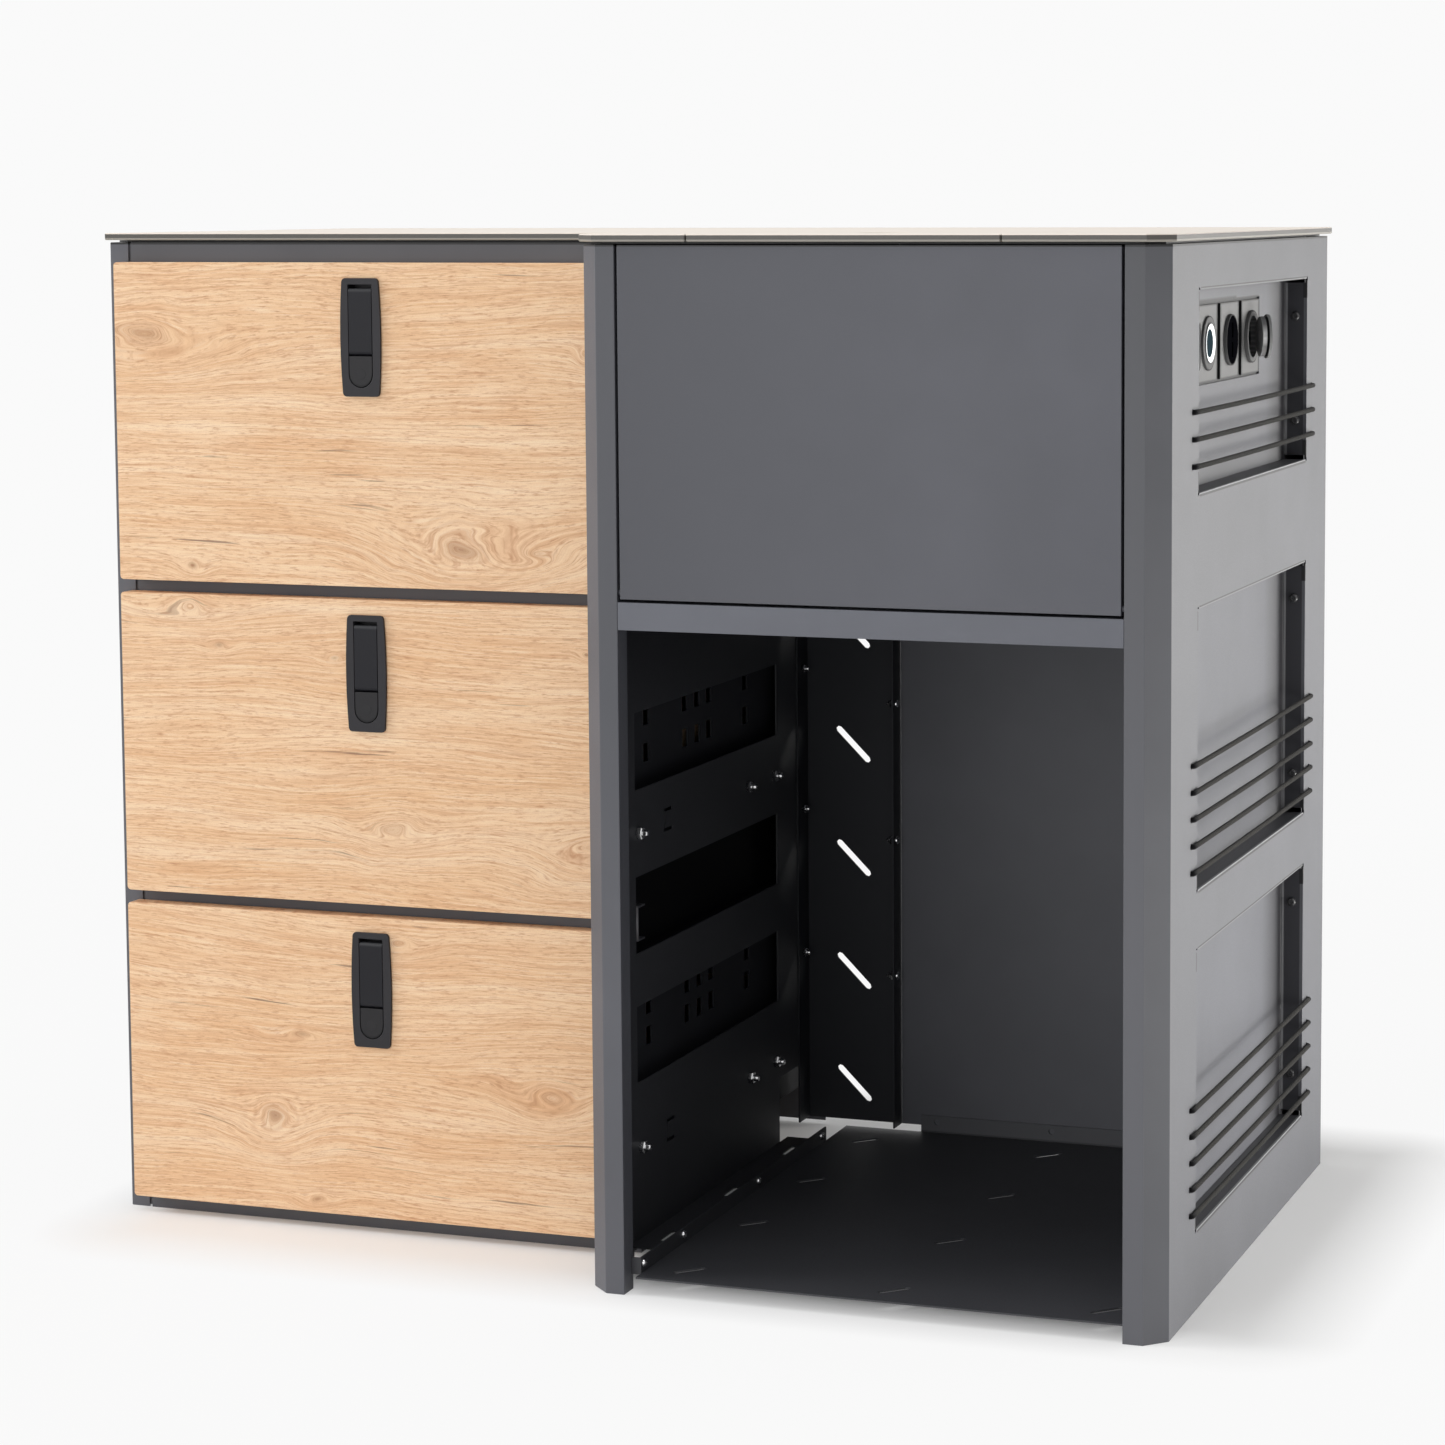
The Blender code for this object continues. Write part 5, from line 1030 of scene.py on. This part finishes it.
def cord_route(first, rows):
    """Points of one lacing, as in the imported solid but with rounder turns."""
    points = [Vector((CORD_INSIDE - CORD_TAIL, CORD_NEAR, first))]
    for row in range(rows):
        level = first + row * CORD_PITCH
        start, end = (CORD_NEAR, CORD_FAR) if row % 2 == 0 else (CORD_FAR, CORD_NEAR)
        along = CORD_RADIUS if end > start else -CORD_RADIUS
        run = end - start - 2.0 * along
        points.append(Vector((CORD_INSIDE, start, level)))
        points += cord_corner(start, along, level)
        for step in range(1, RUN_STEPS):
            share = step / RUN_STEPS
            sag = CORD_SAG * math.sin(math.pi * share)
            points.append(Vector((CORD_OUTSIDE, start + along + run * share, level - sag)))
        points += reversed(cord_corner(end, -along, level))
        points.append(Vector((CORD_INSIDE, end, level)))
    points.append(points[-1] - Vector((CORD_TAIL, 0.0, 0.0)))
    return points


def make_cords():
    for name, (first, rows) in CORD_ROWS.items():
        shape = bmesh.new()
        add_tube(shape, cord_route(first, rows), CORD_RADIUS, CORD_SIDES)
        cord = piece(f"{name}_lacing", shape, CORD, "carcass", CORD_SMOOTH)
        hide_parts(f"{name}_pocket_cord")


def grid(xs, ys, zs):
    """Places at every mix of these coordinates."""
    return [(x, y, z) for x in xs for y in ys for z in zs]


# Forms of the fasteners, in shares of their radius and height. A row with HEXAGON has six sides
HEXAGON = 6
BUTTON_SCREW = (
    (0.00, 0.00), (1.00, 0.00), (1.00, 0.30), (0.93, 0.62), (0.76, 0.90), (0.62, 1.00),
    (0.50, 0.98, HEXAGON), (0.48, 0.35, HEXAGON), (0.00, 0.30),
)
BOLT_END = (
    (0.00, 0.00), (1.30, 0.00, HEXAGON), (1.42, 0.06, HEXAGON), (1.42, 0.46, HEXAGON),
    (1.25, 0.54, HEXAGON), (0.74, 0.54), (0.74, 0.92), (0.60, 1.00), (0.00, 1.00),
)
# Nut behind a round fitting, as (radius, X)
SOCKET_NUT = (
    (0.0196, 0.4672), (0.0250, 0.4672, HEXAGON), (0.0250, 0.4612, HEXAGON), (0.0196, 0.4612),
)

# Ways that fasteners face, their sizes as (radius, height), and rows of their places
RIGHT, LEFT, FORWARD, BACK = (1, 0, 0), (-1, 0, 0), (0, -1, 0), (0, 1, 0)
LARGE_BOLT = (0.0040, 0.0095)
SHORT_BOLT = (0.0030, 0.0070)
SMALL_BOLT = (0.0030, 0.0080)
SMALL_SCREW = (0.0036, 0.0024)
FLANGE_SCREW = (0.0042, 0.0026)
FLOOR_SCREWS_Y = (-0.2740, -0.1855, -0.0040, 0.1640)
REAR_LEVELS = (0.4257, 0.2961, 0.1667)
LIP_LEVELS = (0.7917, 0.6986, 0.5388, 0.3799, 0.2621, 0.1041)
FLANGE_LEVELS = (0.06, 0.25, 0.44, 0.63, 0.81)

# Fasteners of each group: form, size, the way they face, and places as rows of X, Y and Z
NICHE_FASTENERS = (
    (BOLT_END, LARGE_BOLT, RIGHT, grid((0.0053,), (-0.1830, 0.0785, 0.1465), (0.095, 0.365))),
    (BOLT_END, SHORT_BOLT, RIGHT, grid((0.0071,), (0.2220,), (0.4560, 0.3220, 0.1840))),
    (BOLT_END, SMALL_BOLT, LEFT, grid((0.0984,), (0.2240,), REAR_LEVELS)),
    (BUTTON_SCREW, SMALL_SCREW, RIGHT, grid((0.0999,), (0.2240,), REAR_LEVELS)),
    (BUTTON_SCREW, SMALL_SCREW, RIGHT, grid((0.0445,), FLOOR_SCREWS_Y, (0.0225,))),
)
FLANGE_FASTENERS = (
    (BUTTON_SCREW, FLANGE_SCREW, FORWARD, grid((0.4815,), (WINDOW_BACK,), LIP_LEVELS)),
    (BUTTON_SCREW, FLANGE_SCREW, BACK, grid((0.4815,), (WINDOW_FRONT,), LIP_LEVELS)),
    (BUTTON_SCREW, FLANGE_SCREW, BACK, grid((-0.482, 0.482), (0.2945,), FLANGE_LEVELS)),
)


def fasteners(rows):
    """A bmesh of rows of fasteners."""
    shape = bmesh.new()
    for form, (radius, height), way, places in rows:
        profile = [(across * radius, up * height, *corners) for across, up, *corners in form]
        for place in places:
            add_turned(shape, profile, facing(place, way))
    return shape


def make_screws():
    """Screws in the niche, on the window flanges and on the rear edges."""
    piece("niche_screws", fasteners(NICHE_FASTENERS), BRIGHT, "carcass")
    piece("flange_screws", fasteners(FLANGE_FASTENERS), BLACK_SCREW, "carcass")


def make_button_discs():
    """Small shallow disc on each latch button."""
    for drawer in DRAWERS:
        low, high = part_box(f"{drawer}_latch_button")
        shape = bmesh.new()
        place = ((low.x + high.x) / 2.0, low.y, low.z + DISC_RISE)
        add_turned(shape, BUTTON_DISC, facing(place, FORWARD), DISC_SIDES)
        piece(f"{drawer}_button_disc", shape, BUTTON_PLASTIC, f"{drawer}_button")


def make_socket_detail():
    """Contacts in the socket bores, and nuts behind the panel."""
    shape = bmesh.new()
    for middle in SOCKET_Y.values():
        add_turned(shape, PIN, about_x(middle), PIN_SIDES)
        for level in around(SOCKET_LEVEL, LEAF_REACH):
            y, z = around(middle, LEAF_HALF_WIDTH), around(level, LEAF_HALF_THICKNESS)
            add_block(shape, *zip(LEAF_X, y, z))
    piece("socket_contacts", shape, BRIGHT, "carcass")
    shape = bmesh.new()
    for number in range(MODULE_COUNT):
        add_turned(shape, SOCKET_NUT, about_x(MODULE_FIRST + number * MODULE_PITCH))
    piece("socket_nuts", shape, BLACK_PLASTIC, "carcass")


def seen_rays(tree):
    """One for the rays that show the bright backdrop, and zero for those that light the object."""
    rays = tree.nodes.new("ShaderNodeLightPath")
    share = rays.outputs["Is Camera Ray"]
    for name in ("Is Glossy Ray", "Is Transmission Ray"):
        either = tree.nodes.new("ShaderNodeMath")
        either.operation = "MAXIMUM"
        tree.links.new(share, either.inputs[0])
        tree.links.new(rays.outputs[name], either.inputs[1])
        share = either.outputs[0]
    return share


def mix_shaders(tree, share, first, second, output):
    """Mixes two shaders into the output node."""
    mixed = tree.nodes.new("ShaderNodeMixShader")
    for socket, source in zip(mixed.inputs, (share, first, second)):
        tree.links.new(source, socket)
    tree.links.new(mixed.outputs[0], tree.nodes[output].inputs["Surface"])


def make_stage():
    bpy.ops.mesh.primitive_plane_add(size=FLOOR_SIZE)
    floor = bpy.context.object
    floor.name = "studio_floor"
    shader = Shader("studio_floor", Roughness=0.9, Specular_IOR_Level=0.1)
    shader.set(Base_Color=shader.blend(shader.noise(scale=0.8), *FLOOR_COLOURS))
    outside = [
        shader.largest(shader.minus(shader.distance(value, FOOTPRINT_SHIFT), half), 0.0)
        for value, half in zip(shader.axes(), FOOTPRINT)
    ]
    away = shader.length(*outside)
    share = shader.plus(
        shader.span(away, *FIRST_RISE, FLOOR_UNDER, FLOOR_NEAR),
        shader.span(away, *SECOND_RISE, 0.0, 1.0 - FLOOR_NEAR),
    )
    glow = shader.node("ShaderNodeEmission", Color=BACKDROP_COLOUR, Strength=BACKDROP)
    shown = shader.times(seen_rays(shader.tree), share)
    mix_shaders(shader.tree, shown, shader.surface.outputs[0], glow.outputs[0], "Material Output")
    floor.data.materials.append(shader.material)


def make_world():
    world = bpy.data.worlds.new("studio")
    bpy.context.scene.world = world
    world.use_nodes = True
    tree = world.node_tree
    soft, seen = tree.nodes["Background"], tree.nodes.new("ShaderNodeBackground")
    for node, colour, strength in ((soft, WHITE, AMBIENT), (seen, BACKDROP_COLOUR, BACKDROP)):
        node.inputs["Color"].default_value = (*colour, 1.0)
        node.inputs["Strength"].default_value = strength
    mix_shaders(tree, seen_rays(tree), soft.outputs[0], seen.outputs[0], "World Output")


def make_lights():
    for name, place, target, size, power in LAMPS:
        data = bpy.data.lights.new(name, "AREA")
        data.shape = "DISK"
        data.size = size
        data.energy = power
        data.color = WARM if name in WARM_LAMPS else WHITE
        obj = bpy.data.objects.new(name, data)
        bpy.context.scene.collection.objects.link(obj)
        obj.location = place
        obj.rotation_euler = (Vector(target) - Vector(place)).to_track_quat("-Z", "Y").to_euler()
        obj.visible_camera = False


def make_camera():
    data = bpy.data.cameras.new("camera")
    data.sensor_width = CAMERA_SENSOR
    data.lens = CAMERA_LENS
    data.shift_x, data.shift_y = CAMERA_SHIFT
    camera = bpy.data.objects.new("camera", data)
    bpy.context.scene.collection.objects.link(camera)
    level = Vector((-math.sin(CAMERA_YAW), math.cos(CAMERA_YAW), 0.0))
    ahead = level * math.cos(CAMERA_PITCH) - Vector((0.0, 0.0, math.sin(CAMERA_PITCH)))
    right = Vector((math.cos(CAMERA_YAW), math.sin(CAMERA_YAW), 0.0))
    up = right.cross(ahead)
    rolled_right = right * math.cos(CAMERA_ROLL) + up * math.sin(CAMERA_ROLL)
    rolled_up = up * math.cos(CAMERA_ROLL) - right * math.sin(CAMERA_ROLL)
    turn = Matrix((rolled_right, rolled_up, -ahead)).transposed().to_4x4()
    camera.matrix_world = Matrix.Translation(CAMERA_PLACE) @ turn
    bpy.context.scene.camera = camera


bpy.context.scene.view_settings.view_transform = "Standard"
make_camera()
make_cords()
dress_frame()
dress_fittings()
make_screws()
make_button_discs()
make_socket_detail()
make_stage()
make_world()
make_lights()
